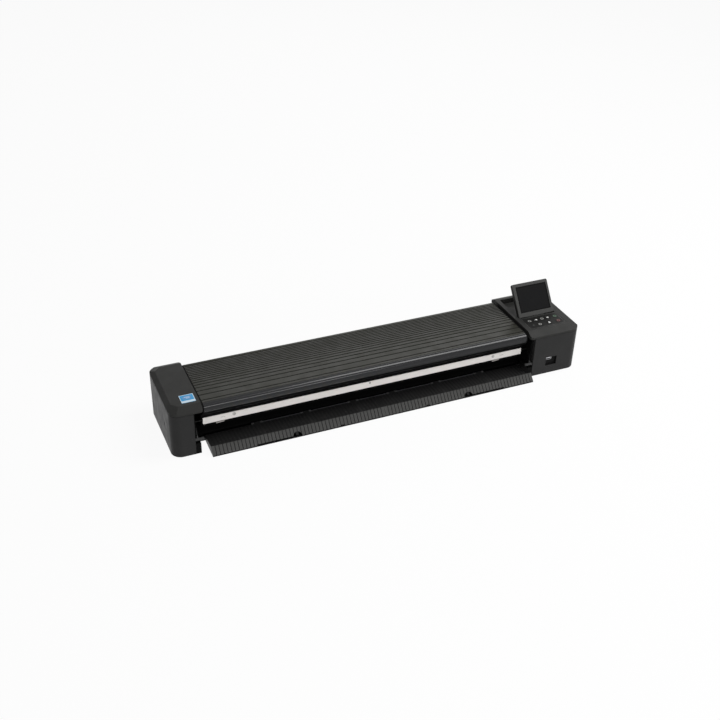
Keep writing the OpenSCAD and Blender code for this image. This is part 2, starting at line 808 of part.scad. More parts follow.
// Side view of a side frame: plate with a lug for the lid hinge
module side_view() {
    low = foot_h;
    top = seam_h - 2 * wall;
    difference() {
        union() {
            translate([side_front_y, low]) square([frame_back_y - side_front_y, top - low]);
            translate([lid_axis_y, lid_axis_z]) circle(lid_knuckle_r);
        }
        translate([lid_axis_y, lid_axis_z]) circle(lid_pin_r);
        for (y = [roll_front_y, roll_back_y]) translate([y, drive_z]) circle(drive_shaft_r + bush_t);
        translate([0, bar_z - 2 * bar_r]) square([bar_y + 3 * bar_r, 4 * bar_r]);
    }
}

bush_t = 2;
bush_flange = 1.5;
latch_stud_r = 2.5;
module side_frame() {
    along(left_plate_x, left_plate_in) side_view();
    translate([left_plate_x, fit_gap, foot_h]) cube([block_w, block_d, block_h]);
    bar(left_plate_in, left_plate_in + latch_t + move_gap, latch_y, latch_z, latch_stud_r);
    difference() {
        for (y = tab_ys) translate([left_plate_x - tab_w, y - tab_w / 2, foot_h + wall]) cube([tab_w, tab_w, tab_t]);
        for (p = screw_spots(left_w)) translate([p[0], p[1], foot_h]) cylinder(h = wall + tab_t + over, r = screw_r);
    }
}

module left_side_frame() {
    color("#1b1b1c") placed() side_frame();
}

// Shifts a piece drawn for the left plate to the right plate, mirrored
module mirrored_plate() {
    translate([right_plate_x + left_plate_x, 0, 0]) mirror([1, 0, 0]) children();
}

module right_side_frame() {
    color("#1b1b1c") placed() mirrored_plate() side_frame();
}

// Base pan with front and rear lips, stiffening beads and tray hinge ears
ear_w = 4;
left_knuckle_shares = [0.2961, 0.5804, 0.8646];
right_knuckle_shares = [0.1109, 0.4063, 0.7016];
function knuckle_places() = concat(
    [for (s = left_knuckle_shares) tray_left_x + s * (tray_seam_x - tray_left_x)],
    [for (s = right_knuckle_shares) tray_seam_x + s * (tray_right_x - tray_seam_x)]);

module ear_view() {
    translate([tray_axis_y, tray_axis_z]) circle(tray_knuckle_r);
    translate([tray_axis_y - tray_knuckle_r / 2, pan_clear])
        square([1.5 * tray_knuckle_r, tray_axis_z - pan_clear]);
}

// Stiffening beads of the pan, on whose tops the paper bed stands
bead_h = 2;
bead_w = 6;
bead_z = pan_clear + pan_t / 2 + bead_h;

module base_chassis() {
    rear_lip_h = 14;
    color("#202021") placed() difference() {
        union() {
            along(left_plate_in, right_plate_in) polygon([
                [pan_front_y, pan_clear], [frame_back_y - over, pan_clear],
                [frame_back_y - over, pan_clear + rear_lip_h], [frame_back_y - over - pan_t, pan_clear + rear_lip_h],
                [frame_back_y - over - pan_t, pan_clear + pan_t], [pan_front_y + pan_t, pan_clear + pan_t],
                [pan_front_y + pan_t, pan_lip_h], [pan_front_y, pan_lip_h]
            ]);
            for (k = knuckle_places(), s = [-1, 1])
                along(k + s * (tray_knuckle_w / 2 + move_gap + ear_w / 2) - ear_w / 2,
                      k + s * (tray_knuckle_w / 2 + move_gap + ear_w / 2) + ear_w / 2) ear_view();
            for (k = [1:5]) translate([left_plate_in + k * (right_plate_in - left_plate_in) / 6 - bead_w / 2,
                bed_front_y, pan_clear + pan_t / 2])
                cube([bead_w, frame_back_y - 6 * tray_knuckle_r - bed_front_y, bead_h]);
        }
        bar(left_plate_in, right_plate_in, tray_axis_y, tray_axis_z, tray_rod_r);
    }
}

module tray_hinge_rod() {
    spots = knuckle_places();
    color("#2c2c2e") placed()
        bar(spots[0] - tray_knuckle_w / 2 - move_gap - ear_w, spots[5] + tray_knuckle_w / 2 + move_gap + ear_w,
            tray_axis_y, tray_axis_z, tray_rod_r);
}

// Rear wall above the paper exit, with turned-in edges
module rear_cover() {
    exit_h = 7;
    top_gap = 3.5;
    low = paper_z + exit_h;
    high = lid_axis_z - top_gap;
    front = lid_axis_y + lid_knuckle_r + move_gap;
    color("#2a2a2a") placed() along(left_plate_in, right_plate_in) polygon([
        [front, low], [frame_back_y, low], [frame_back_y, high], [front, high], [front, high - wall],
        [frame_back_y - wall, high - wall], [frame_back_y - wall, low + wall], [front, low + wall]
    ]);
}

// Moulded bed that carries the paper: ramp, flat, trough for the backing plate, exit slope
bed_t = 1.8;
bed_end = 1;
bed_gap = 1.6;
bed_front_y = tray_axis_y + tray_knuckle_r + bed_gap;
ramp_d = 14;
bed_drop = 0.6;
bed_z = paper_z - bed_drop;
trough_h = 2.4;
trough_y0 = glass_y - roll_space / 4;
trough_y1 = glass_y + roll_space / 4;
exit_y = roll_back_y + 1.5 * drive_r;
module bed_view() {
    polygon([
        [bed_front_y, tray_axis_z + tray_knuckle_r], [bed_front_y + ramp_d, bed_z], [trough_y0, bed_z],
        [trough_y0, bed_z - trough_h], [trough_y1, bed_z - trough_h], [trough_y1, bed_z],
        [exit_y, bed_z], [frame_back_y, bed_z - trough_h],
        [frame_back_y, bed_z - trough_h - bed_t], [exit_y, bed_z - bed_t],
        [trough_y1 + bed_t, bed_z - bed_t], [trough_y1 + bed_t, bed_z - trough_h - bed_t],
        [trough_y0 - bed_t, bed_z - trough_h - bed_t], [trough_y0 - bed_t, bed_z - bed_t],
        [bed_front_y + ramp_d, bed_z - bed_t], [bed_front_y + bed_t, tray_axis_z + tray_knuckle_r - bed_t],
        [bed_front_y + bed_t, bead_z], [bed_front_y, bead_z]
    ]);
    translate([glass_y, bead_z]) square([bed_t, bed_z - trough_h - bed_t / 2 - bead_z]);
    translate([roll_back_y + 1.2 * drive_r, bead_z]) square([bed_t, bed_z - bed_t / 2 - bead_z]);
}

module paper_bed() {
    window_gap = 2;
    window_w = drive_tyre_w + 2 * window_gap;
    window_d = 1.8 * drive_r;
    color("#141414") placed() difference() {
        along(left_plate_in + bush_t + bed_end, right_plate_in - bush_t - bed_end) bed_view();
        for (k = [0:tyre_count - 1], y = [roll_front_y, roll_back_y])
            translate([mid_x - tyre_half + k * tyre_pitch - window_w / 2, y - window_d / 2, bed_z - 2 * bed_t])
                cube([window_w, window_d, 3 * bed_t]);
    }
}

module white_backing_plate() {
    color("#eceae6") placed() translate([ext_x0 + fit_gap, trough_y0 + fit_gap, bed_z - trough_h])
        cube([ext_w - 2 * fit_gap, trough_y1 - trough_y0 - 2 * fit_gap, trough_h]);
}

// Flanged bushes that carry the drive shafts in the side frames
module roller_bushes() {
    color("#8c6d3a") placed() for (right = [0, 1])
        translate([right * (right_plate_x + left_plate_x), 0, 0]) mirror([right, 0, 0])
            for (y = [roll_front_y, roll_back_y]) difference() {
                union() {
                    bar(left_plate_x, left_plate_in, y, drive_z, drive_shaft_r + bush_t);
                    bar(left_plate_in, left_plate_in + bush_t, y, drive_z, drive_shaft_r + bush_t + bush_flange);
                }
                bar(left_plate_x - over, left_plate_in + bush_t + over, y, drive_z, drive_shaft_r + run_gap);
            }
}

// Steel drive shaft with clip grooves inside each bush
module drive_shaft(y) {
    groove = 0.5;
    clip_w = 1;
    color("#b4b7ba") placed() difference() {
        bar(gear_x0, right_plate_x + bush_t, y, drive_z, drive_shaft_r);
        for (x = [left_plate_in + 2 * bush_t, right_plate_in - 2 * bush_t - clip_w]) difference() {
            bar(x, x + clip_w, y, drive_z, drive_shaft_r + over);
            bar(x - over, x + clip_w + over, y, drive_z, drive_shaft_r - groove);
        }
    }
}

module tyres(y, z, r, hole_r, w) {
    for (k = [0:tyre_count - 1]) {
        x = mid_x - tyre_half + k * tyre_pitch;
        difference() {
            bar(x - w / 2, x + w / 2, y, z, r);
            bar(x - w / 2 - over, x + w / 2 + over, y, z, hole_r);
        }
    }
}

module front_drive_shaft() { drive_shaft(roll_front_y); }
module rear_drive_shaft() { drive_shaft(roll_back_y); }

module front_drive_tyres() {
    color("#3a3a3c") placed() tyres(roll_front_y, drive_z, drive_r, drive_shaft_r, drive_tyre_w);
}

module rear_drive_tyres() {
    color("#3a3a3c") placed() tyres(roll_back_y, drive_z, drive_r, drive_shaft_r, drive_tyre_w);
}

// Involute teeth: half the tooth's angle at radius r, for n teeth
pressure = 20;
function involute(a) = tan(a) * 180 / PI - a;
function half_tooth(n, r) = let (rp = gear_m * n / 2, rb = rp * cos(pressure))
    90 / n - backlash / rp * 90 / PI + involute(pressure) - involute(acos(min(1, rb / max(r, rb))));
function tooth_radii(n) = let (rp = gear_m * n / 2, rb = rp * cos(pressure))
    [rp - 1.25 * gear_m, max(rb, rp - gear_m), rp, rp + gear_m / 2, rp + gear_m];
function gear_points(n, start) = [
    for (k = [0:n - 1], side = [-1, 1], j = [0:4])
        let (radii = tooth_radii(n), r = radii[side < 0 ? j : 4 - j],
             a = start + k * 360 / n + side * half_tooth(n, r))
        [r * cos(a), r * sin(a)]
];

// Start angle of a gear that meshes with the idler in the direction given from the idler
function mesh_start(n, direction) = let (pitch = 360 / idler_teeth, part = direction / pitch - floor(direction / pitch))
    direction + 180 + (part + 0.5) * 360 / n;

module gear(n, y, z, start, hole_r) {
    translate([gear_x0, y, z]) rotate([90, 0, 90]) linear_extrude(gear_w) difference() {
        polygon(gear_points(n, start));
        circle(hole_r);
    }
}

module front_roller_gear() {
    color("#d9d7cf") placed()
        gear(roller_teeth, roll_front_y, drive_z, mesh_start(roller_teeth, 180 + roller_gear_angle), drive_shaft_r);
}

module rear_roller_gear() {
    color("#d9d7cf") placed()
        gear(roller_teeth, roll_back_y, drive_z, mesh_start(roller_teeth, 360 - roller_gear_angle), drive_shaft_r);
}

// Idler gear with its web lightened by round holes
stud_r = 3;
stud_head = 1.2;
module idler_gear() {
    idler_r = gear_m * idler_teeth / 2;
    hole_r = idler_r * 0.205;
    hole_ring = idler_r * 0.568;
    color("#d9d7cf") placed() difference() {
        gear(idler_teeth, idler_y, idler_z, 0, stud_r + run_gap);
        for (k = [0:5]) translate([0, idler_y, idler_z]) rotate([k * 60, 0, 0])
            bar(gear_x0 - over, gear_x1 + over, hole_ring, 0, hole_r);
    }
}

module idler_stud() {
    color("#b4b7ba") placed() {
        bar(gear_x0 - stud_head, left_plate_x, idler_y, idler_z, stud_r);
        bar(gear_x1 + move_gap, left_plate_x, idler_y, idler_z, stud_r + stud_head);
        bar(gear_x0 - stud_head - move_gap, gear_x0 - move_gap, idler_y, idler_z, stud_r + stud_head);
    }
}

module motor_pinion() {
    shaft_in = 6;
    color("#b9a268") placed() {
        gear(pinion_teeth, idler_y, pinion_z, mesh_start(pinion_teeth, 90), motor_shaft_r);
        bar(motor_face_x - shaft_in, gear_x1, idler_y, pinion_z, motor_shaft_r);
    }
}

// Stepper motor behind its bracket plate
bracket_t = 2;
motor_face_x = gear_x0 - 2 * gear_off - bracket_t;
motor_boss_r = motor_w * 0.3;
module feed_motor() {
    cut = 4;
    color("#6d6f72") placed() difference() {
        union() {
            translate([motor_face_x - motor_l, idler_y - motor_w / 2, pinion_z - motor_w / 2])
                cube([motor_l, motor_w, motor_w]);
            bar(motor_face_x - over, motor_face_x + bracket_t, idler_y, pinion_z, motor_boss_r);
        }
        bar(motor_face_x - motor_l / 2, motor_face_x + bracket_t + over, idler_y, pinion_z, motor_shaft_r + run_gap);
        for (k = [0:3]) translate([0, idler_y, pinion_z]) rotate([45 + k * 90, 0, 0])
            translate([motor_face_x - motor_l - over, motor_w / sqrt(2) - cut / 2, -motor_w / 2])
                cube([motor_l + over, motor_w, motor_w]);
    }
}

// Bracket plate held off the side frame by four posts
module motor_bracket() {
    stand_r = 3;
    plate = motor_w + 4 * stand_r;
    color("#9b9da0") placed() difference() {
        union() {
            translate([motor_face_x, idler_y - plate / 2, pinion_z - motor_w / 2])
                cube([bracket_t, plate, motor_w - stand_r]);
            for (s = [-1, 1], z = [pinion_z - motor_w / 2 + 2 * stand_r, pinion_z + motor_w / 2 - 3 * stand_r])
                bar(motor_face_x, left_plate_x, idler_y + s * (plate / 2 - stand_r), z, stand_r);
        }
        bar(motor_face_x - over, motor_face_x + bracket_t + over, idler_y, pinion_z, motor_boss_r);
    }
}

// Ribbed lid panel: places of the grooves, whose lands shrink towards the back
function groove_place(k) = k == 0 ? panel_front_y + groove_first
    : groove_place(k - 1) + land_back + (land_front - land_back) * pow(land_ratio_share, k - 1);
function panel_z(y) = panel_front_z + (panel_back_z - panel_front_z) * (y - panel_front_y) / (panel_back_y - panel_front_y);
flange_over = 2;
flange_low = lid_axis_z - flange_over;

module lid_panel() {
    grooves = [for (k = [0:groove_count - 1]) groove_place(k)];
    back_cut = 0.5;
    color("#4c4c46") placed() along(ext_x0, ext_x1) polygon(concat(
        [[panel_front_y, panel_front_z - panel_t], [panel_front_y, panel_front_z]],
        [for (g = grooves, c = [[-0.5, 0], [-0.25, 1], [0.25, 1], [0.5, 0]])
            [g + c[0] * groove_w, panel_z(g + c[0] * groove_w) - c[1] * groove_h]],
        [[panel_back_y - back_cut, panel_back_z], [panel_back_y, panel_back_z - back_cut], [panel_back_y, flange_low],
         [panel_back_y - wall, flange_low], [panel_back_y - wall, panel_back_z - panel_t]]));
}

// Nose: quarter ellipse over two bands with a fine line between them
nose_step = 0.5;
nose_top = panel_front_z - nose_step;
nose_d = strip_y - nose_y;
nose_low_y = nose_y + 0.1883 * nose_d;
nose_mid_y = nose_y + 0.4221 * nose_d;
nose_mid_z = nose_under_z + 0.433 * (nose_low_z - nose_under_z);
nose_under_y = strip_y - 0.13 * nose_d;
line_in = 1;
line_half = 0.4;
module nose_outline(inset) {
    steps = 8;
    a = panel_front_y - nose_y - inset;
    b = nose_top - nose_turn_z - inset;
    polygon(concat(
        [for (k = [0:steps]) [panel_front_y - a * sin(90 * k / steps), nose_turn_z + b * cos(90 * k / steps)]],
        inset > 0 ? [] : [[nose_y + line_half / 2, nose_line_z + line_in], [nose_y + line_in, nose_line_z + line_half],
         [nose_y + line_in, nose_line_z - line_half], [nose_y + 1.5 * line_half, nose_line_z - line_in]],
        [[nose_low_y + inset * 0.9, nose_low_z + inset * 0.3], [nose_mid_y + inset * 0.7, nose_mid_z + inset * 0.6],
         [nose_under_y + inset * 0.4, nose_under_z + inset * 0.9],
         [strip_y + strip_t + (inset > 0 ? over : 0), nose_under_z + (inset > 0 ? inset : 0)],
         [panel_front_y + (inset > 0 ? over : 0), nose_turn_z]]));
}

module nose_view() {
    difference() {
        nose_outline(0);
        nose_outline(nose_t);
    }
}

module lid_nose_trim() {
    color("#2b2c2e") placed() along(ext_x0, ext_x1) nose_view();
}

// Outline of the whole lid seen from the end
module end_plate_view() {
    polygon([
        [nose_y, nose_turn_z], [nose_y + 1.5 * line_half, nose_line_z], [nose_low_y, nose_low_z],
        [nose_mid_y, nose_mid_z], [nose_under_y, nose_under_z], [strip_y + strip_t, nose_under_z - line_in],
        [strip_y + strip_t, strip_low_z + strip_h], [lid_axis_y - sweep_back(end_sweep_r, guide_low_z), guide_low_z],
        [roll_front_y - 2 * press_r, end_low_z],
        [roll_back_y + 2 * press_r, end_low_z], [lid_axis_y - 2 * lid_knuckle_r, end_low_z + press_r],
        [lid_axis_y - lid_knuckle_r, lid_axis_z - lid_knuckle_r], [lid_axis_y, lid_axis_z - lid_knuckle_r / 2],
        [panel_back_y, panel_back_z - line_in], [panel_back_y - line_in, panel_back_z], [panel_front_y, panel_front_z],
        [panel_front_y - 2 * guide_t, panel_front_z - 3 * line_half], [nose_y + 3 * line_half, nose_turn_z + 2 * guide_t]
    ]);
    translate([lid_axis_y, lid_axis_z]) circle(lid_knuckle_r);
}

end_gap = 1.2;
end_low_z = paper_z + end_gap;
end_sweep_r = sqrt(pow(lid_axis_y - strip_y, 2) + pow(lid_axis_z - strip_low_z - strip_h, 2));
function sweep_back(r, z) = sqrt(pow(r, 2) - pow(lid_axis_z - z, 2));
module lid_end_plate(x0) {
    color("#262628") placed() along(x0, x0 + end_t) difference() {
        end_plate_view();
        translate([lid_axis_y, lid_axis_z]) circle(lid_pin_r + run_gap);
        for (y = [roll_front_y, roll_back_y]) translate([y, press_z]) circle(press_shaft_r + run_gap);
    }
}

module lid_left_end_plate() { lid_end_plate(lid_x0); }
module lid_right_end_plate() { lid_end_plate(lid_x1 - end_t); }

module lid_hinge_pins() {
    color("#b4b7ba") placed() {
        bar(left_plate_x, lid_x0 + end_t, lid_axis_y, lid_axis_z, lid_pin_r);
        bar(lid_x1 - end_t, right_plate_x, lid_axis_y, lid_axis_z, lid_pin_r);
    }
}

// Throat guide: upright face behind the strip, then a slope down to the front rollers
guide_drop = 6;
guide_low_z = strip_low_z - guide_drop;
guide_back_y = roll_front_y - press_r - guide_t;
module throat_guide() {
    front = strip_y + strip_t;
    high = nose_under_z + nose_t + fit_gap;
    color("#101011") placed() along(ext_x0, ext_x1) polygon([
        [front, guide_low_z], [guide_back_y, glass_z + glass_t], [guide_back_y, glass_z + glass_t + guide_t],
        [front + guide_t, guide_low_z + guide_t], [front + guide_t, high],
        [panel_front_y + 3 * guide_t, panel_front_z - 2 * panel_t], [panel_front_y + 3 * guide_t, panel_front_z - panel_t - over],
        [panel_front_y + 2 * guide_t, panel_front_z - panel_t - over], [panel_front_y + 2 * guide_t, panel_front_z - 2 * panel_t],
        [front, high]
    ]);
}

module media_strip() {
    color("#d8d5d1") placed() translate([ext_x0, strip_y, strip_low_z]) cube([ext_w, strip_t, strip_h]);
}

// Scan head: tall channel under the panel, closed above the sensors by a shelf
head_y0 = glass_y - glass_d / 2;
head_y1 = glass_y + glass_d / 2;
head_low = glass_z + glass_t;
head_gap = 0.3;
head_high = panel_back_z - panel_t - head_gap;
shelf_gap = 2;
shelf_z = head_low + sensor_h + shelf_gap;
module scan_head_housing() {
    color("#3a3b3d") placed() along(ext_x0, ext_x1) {
        for (y = [head_y0, head_y1 - head_t]) translate([y, head_low]) square([head_t, head_high - head_low]);
        translate([head_y0, shelf_z]) square([glass_d, head_t]);
        translate([head_y0, head_high - head_t]) square([glass_d, head_t]);
    }
}

module scan_glass() {
    color([0.75, 0.85, 0.85, 0.4]) placed() translate([ext_x0, head_y0, glass_z]) cube([ext_w, glass_d, glass_t]);
}

// Three sensor modules in two rows, their ends overlapping
module sensor_modules() {
    length = (ext_w - 4 * head_t + 2 * sensor_lap) / 3;
    color("#77797c") placed() for (k = [0:2])
        translate([ext_x0 + 2 * head_t + k * (length - sensor_lap),
            k == 1 ? head_y1 - head_t - fit_gap - sensor_d : head_y0 + head_t + fit_gap, head_low])
            cube([length, sensor_d, sensor_h]);
}

module pressure_roller(y) {
    color("#57595c") placed() {
        bar(lid_x0, lid_x1, y, press_z, press_shaft_r);
        tyres(y, press_z, press_r, press_shaft_r, press_tyre_w);
    }
}

module front_pressure_roller() { pressure_roller(roll_front_y); }
module rear_pressure_roller() { pressure_roller(roll_back_y); }

// Slab with grooves across it: its top starts at the origin and it runs towards the front
module ribbed_slab(w, run, depth, count) {
    pitch = w / count;
    rotate([90, 0, 0]) linear_extrude(run) polygon(concat(
        [[0, -tray_t], [0, 0]],
        [for (k = [1:count - 1], c = [[-0.5, 0], [-0.2, 1], [0.2, 1], [0.5, 0]])
            [k * pitch + c[0] * rib_gap_w, -c[1] * depth]],
        [[w, 0], [w, -tray_t]]));
}

// One half of the tray: flat part, sloping lip, knuckles and the finger notch
module tray_half(x0, x1, spots, notch_x) {
    w = x1 - x0;
    count = round(w / rib_pitch);
    back_y = flat_back_y;
    back_z = crease_z - tray_rise;
    cut_h = 2;
    cut_w = 69;
    mark_w = 6;
    lip_root = 2.6;
    s = notch_x < tray_seam_x ? -1 : 1;
    cut_x = s < 0 ? notch_x - notch_r - cut_w : notch_x + notch_r;
    difference() {
        union() {
            translate([x0, back_y, back_z]) rotate([-flat_angle, 0, 0])
                ribbed_slab(w, tray_flat_d, flat_rib_h, count);
            translate([x0, crease_y, crease_z]) rotate([lip_angle, 0, 0])
                ribbed_slab(w, lip_len, rib_h, count);
            for (k = spots) along(k - tray_knuckle_w / 2, k + tray_knuckle_w / 2) {
                translate([tray_axis_y, tray_axis_z]) circle(tray_knuckle_r);
                polygon([[tray_axis_y, tray_axis_z + tray_knuckle_r], [tray_axis_y, tray_axis_z - move_gap],
                    [back_y - 2 * tray_t, back_z - tray_t / 2], [back_y - 2 * tray_t, back_z]]);
            }
        }
        for (k = spots) bar(k - tray_knuckle_w, k + tray_knuckle_w, tray_axis_y, tray_axis_z, tray_rod_r + run_gap);
        if (s > 0) translate([tray_right_x - lip_over_right, crease_y + lip_root, crease_z - rib_pitch])
            cube([lip_over_right + over, tray_axis_y, 2 * rib_pitch]);
        translate([0, crease_y, crease_z]) rotate([lip_angle, 0, 0]) {
            translate([notch_x, -lip_len, -2 * tray_t]) cylinder(h = 4 * tray_t, r = notch_r);
            translate([cut_x, -lip_len - over, -2 * tray_t]) cube([cut_w, cut_h + over, 4 * tray_t]);
            translate([tray_seam_x + s * notch_off / 2 - mark_w / 2, -lip_len - over, -2 * tray_t])
                cube([mark_w, cut_h + over, 4 * tray_t]);
        }
    }
}

// Small tab that shows inside each finger notch
module notch_tab(notch_x) {
    tab_w = 5;
    translate([0, crease_y, crease_z]) rotate([lip_angle, 0, 0])
        translate([notch_x - tab_w / 2, -lip_len + 0.3 * notch_r, -tray_t]) cube([tab_w, 0.75 * notch_r, 0.6 * tray_t]);
}

module tray_left_half() {
    spots = knuckle_places();
    color("#2a2a2a") placed() {
        tray_half(tray_left_x, tray_seam_x - tray_seam_gap / 2, [spots[0], spots[1], spots[2]], tray_seam_x - notch_off);
        notch_tab(tray_seam_x - notch_off);
    }
}

module tray_right_half() {
    spots = knuckle_places();
    color("#2a2a2a") placed() {
        tray_half(tray_seam_x + tray_seam_gap / 2, tray_right_x, [spots[3], spots[4], spots[5]], tray_seam_x + notch_off);
        notch_tab(tray_seam_x + notch_off);
    }
}

// The display is drawn lying flat about its hinge axis, then tilted
module tilted() {
    placed() translate([display_x0, display_axis_y, display_axis_z]) rotate([display_tilt, 0, 0]) children();
}

shell_t = 1.6;
split_z = 1;
display_corner_r = 3;
bezel_depth = 1;
module display_plan(inset) {
    translate([inset, display_off + inset])
        round_rect(display_w - 2 * inset, display_h - 2 * inset, display_corner_r - inset);
}

module display_back() {
    low = -display_t / 2;
    arm_spots = [0.17, 0.83];
    color("#303031") tilted() difference() {
        union() {
            translate([0, 0, low]) linear_extrude(split_z - low) display_plan(0);
            for (s = arm_spots) {
                bar(s * display_w - display_knuckle_w / 2, s * display_w + display_knuckle_w / 2, 0, 0, display_knuckle_r);
                translate([s * display_w - display_knuckle_w / 2, 0, -display_knuckle_r])
                    cube([display_knuckle_w, display_off + shell_t, display_knuckle_r]);
            }
        }
        translate([0, 0, low + shell_t]) linear_extrude(display_t) display_plan(shell_t);
        bar(-over, display_w + over, 0, 0, display_rod_r + run_gap);
        translate([-over, display_off, split_z]) cube([display_w + 2 * over, display_t, display_t]);
    }
}

module display_bezel() {
    color("#505050") tilted() difference() {
        translate([0, 0, split_z]) linear_extrude(display_t / 2 - split_z) display_plan(0);
        translate([bezel_left, display_off + bezel_low, split_z - over])
            cube([screen_w, screen_h, display_t]);
        translate([0, 0, split_z - over]) linear_extrude(display_t / 2 - split_z - bezel_depth + over)
            display_plan(shell_t);
    }
}

module display_panel() {
    edge = 1.5;
    color("#141416") tilted()
        translate([bezel_left - edge, display_off + bezel_low - edge, -display_t / 2 + shell_t])
            cube([screen_w + 2 * edge, screen_h + 2 * edge, display_t - shell_t - bezel_depth]);
}

module display_hinge_rod() {
    x0 = body_w - recess_left - tub_t;
    x1 = body_w - recess_right + tub_t;
    color("#8f9294") placed() bar(x0, x1, display_axis_y, display_axis_z, display_rod_r);
}

// Latch lever: finger bar below, pivot in the middle, cross pin just in front of the lid's end plate
hook_gap = 0.35;
bar_in = 1.4;
latch_hub_r = 5;
latch_pin_y = lid_axis_y - sweep_back(end_sweep_r + hook_gap + latch_pin_r, latch_pin_z);
module latch(pin_end) {
    x0 = left_plate_in + move_gap;
    neck = latch_hub_r / 2;
    difference() {
        union() {
            along(x0, x0 + latch_t) {
                translate([latch_y, latch_z]) circle(latch_hub_r);
                translate([latch_pin_y, latch_pin_z]) circle(1.8 * latch_pin_r);
                polygon([[bar_y - bar_r / 2, bar_z], [bar_y + bar_r / 2, bar_z], [latch_y + neck, latch_z],
                    [latch_y - latch_hub_r, latch_z]]);
                polygon([[latch_y - neck, latch_z + neck], [latch_y + latch_hub_r, latch_z],
                    [latch_pin_y + 1.5 * latch_pin_r, latch_pin_z], [latch_pin_y - 1.5 * latch_pin_r, latch_pin_z]]);
            }
            bar(left_w + move_gap, left_cover_w - bar_in, bar_y, bar_z, bar_r);
            bar(x0, pin_end, latch_pin_y, latch_pin_z, latch_pin_r);
        }
        bar(x0 - over, x0 + latch_t + over, latch_y, latch_z, latch_stud_r + run_gap);
    }
}

module left_latch() {
    color("#45464a") placed() latch(lid_x0 + end_t - move_gap);
}

module right_latch() {
    color("#45464a") placed() mirrored_plate() latch(right_plate_x + left_plate_x - lid_x1 + end_t - move_gap);
}

base_chassis();
left_side_frame();
right_side_frame();
left_end_housing();
right_end_housing();
left_end_cover();
right_end_cover();
rear_cover();
paper_bed();
white_backing_plate();
roller_bushes();
front_drive_shaft();
front_drive_tyres();
front_roller_gear();
rear_drive_shaft();
rear_drive_tyres();
rear_roller_gear();
idler_gear();
idler_stud();
motor_pinion();
feed_motor();
motor_bracket();
main_board();
usb_host_socket();
rear_sockets();
keypad_board();
keypad_overlay();
status_light();
key_home();
key_left();
key_menu();
key_down();
key_back();
key_up();
key_start();
key_stop();
rubber_feet();
housing_screws();
energy_label();
lid_panel();
lid_nose_trim();
lid_left_end_plate();
lid_right_end_plate();
lid_hinge_pins();
throat_guide();
media_strip();
scan_head_housing();
sensor_modules();
scan_glass();
front_pressure_roller();
rear_pressure_roller();
tray_left_half();
tray_right_half();
tray_hinge_rod();
display_bezel();
display_back();
display_panel();
display_hinge_rod();
left_latch();
right_latch();
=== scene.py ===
"""Looks of a sheet-fed large format scanner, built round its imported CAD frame."""

import json
import math

import bmesh
import bpy
import numpy as np
from mathutils import Matrix, Vector

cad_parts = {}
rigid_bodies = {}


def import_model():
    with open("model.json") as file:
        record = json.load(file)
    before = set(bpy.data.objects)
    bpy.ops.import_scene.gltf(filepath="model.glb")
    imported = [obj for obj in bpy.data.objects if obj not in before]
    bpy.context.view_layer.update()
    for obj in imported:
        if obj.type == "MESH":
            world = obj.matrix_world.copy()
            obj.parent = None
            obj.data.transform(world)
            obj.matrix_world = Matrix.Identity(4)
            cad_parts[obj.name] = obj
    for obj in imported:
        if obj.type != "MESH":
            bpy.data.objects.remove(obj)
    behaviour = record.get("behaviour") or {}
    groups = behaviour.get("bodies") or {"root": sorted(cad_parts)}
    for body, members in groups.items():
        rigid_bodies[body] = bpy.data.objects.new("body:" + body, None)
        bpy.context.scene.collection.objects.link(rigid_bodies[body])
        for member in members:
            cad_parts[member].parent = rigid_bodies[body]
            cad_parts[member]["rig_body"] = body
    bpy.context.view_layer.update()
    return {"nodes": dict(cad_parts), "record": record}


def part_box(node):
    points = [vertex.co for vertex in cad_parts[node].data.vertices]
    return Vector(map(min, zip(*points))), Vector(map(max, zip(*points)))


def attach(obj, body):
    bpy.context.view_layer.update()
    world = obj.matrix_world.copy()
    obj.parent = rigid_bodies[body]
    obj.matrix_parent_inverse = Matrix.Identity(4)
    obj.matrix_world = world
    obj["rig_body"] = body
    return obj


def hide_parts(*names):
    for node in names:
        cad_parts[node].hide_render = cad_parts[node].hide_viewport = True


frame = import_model()

MM = 0.001
# Where the body's front left corner stands in the row frame, in millimetres
BODY_X = -416.0
BODY_Y = -72.8275

# Camera of the photograph: place in the row frame, heading, fall, roll and lens
CAMERA_AT = (-0.7091, -1.5268, 1.1587)
CAMERA_HEADING = math.radians(23.98)
CAMERA_FALL = math.radians(32.94)
CAMERA_ROLL = math.radians(1.6)
CAMERA_LENS = 52.35
SENSOR = 36.0

# The lid's lands: front and back edge in millimetres from the body's front, and height there in metres
LID_FRONT_Y, LID_BACK_Y = 17, 147
LID_FRONT_Z, LID_BACK_Z = 0.0968, 0.0957

# The nose turns dull below this height, and the finger bars' levers turn black above theirs, in millimetres
NOSE_DULL_Z = 80.0
LEVER_BLACK_Z = 37.0

# The tray: its lip's slope, and in millimetres the crease, the sheet and the finger notches
LIP_ANGLE = math.radians(48)
CREASE_Y = -6.7
CREASE_Z = 15.86
TRAY_T = 2.2
NOTCH_R = 9.0
# Distance of a finger notch from the seam between the halves
NOTCH_OFF = (722.5 - 66.5) / 2 * 0.53659
# How far back the left half's end wall reaches
WALL_BACK_Y = 29.5

# The floor: its grey for scattered light, the share that shows plain white, its half width in metres
FLOOR_GREY = 0.86
FLOOR_WHITE = 0.93
FLOOR_REACH = 6.0
# Strength of the surround's light
SKY_LEVEL = 0.22


def spot(x, y, z):
    """A point given in millimetres from the body's front left corner, in the row frame in metres."""
    return np.array([(BODY_X + x) * MM, (BODY_Y + y) * MM, z * MM])


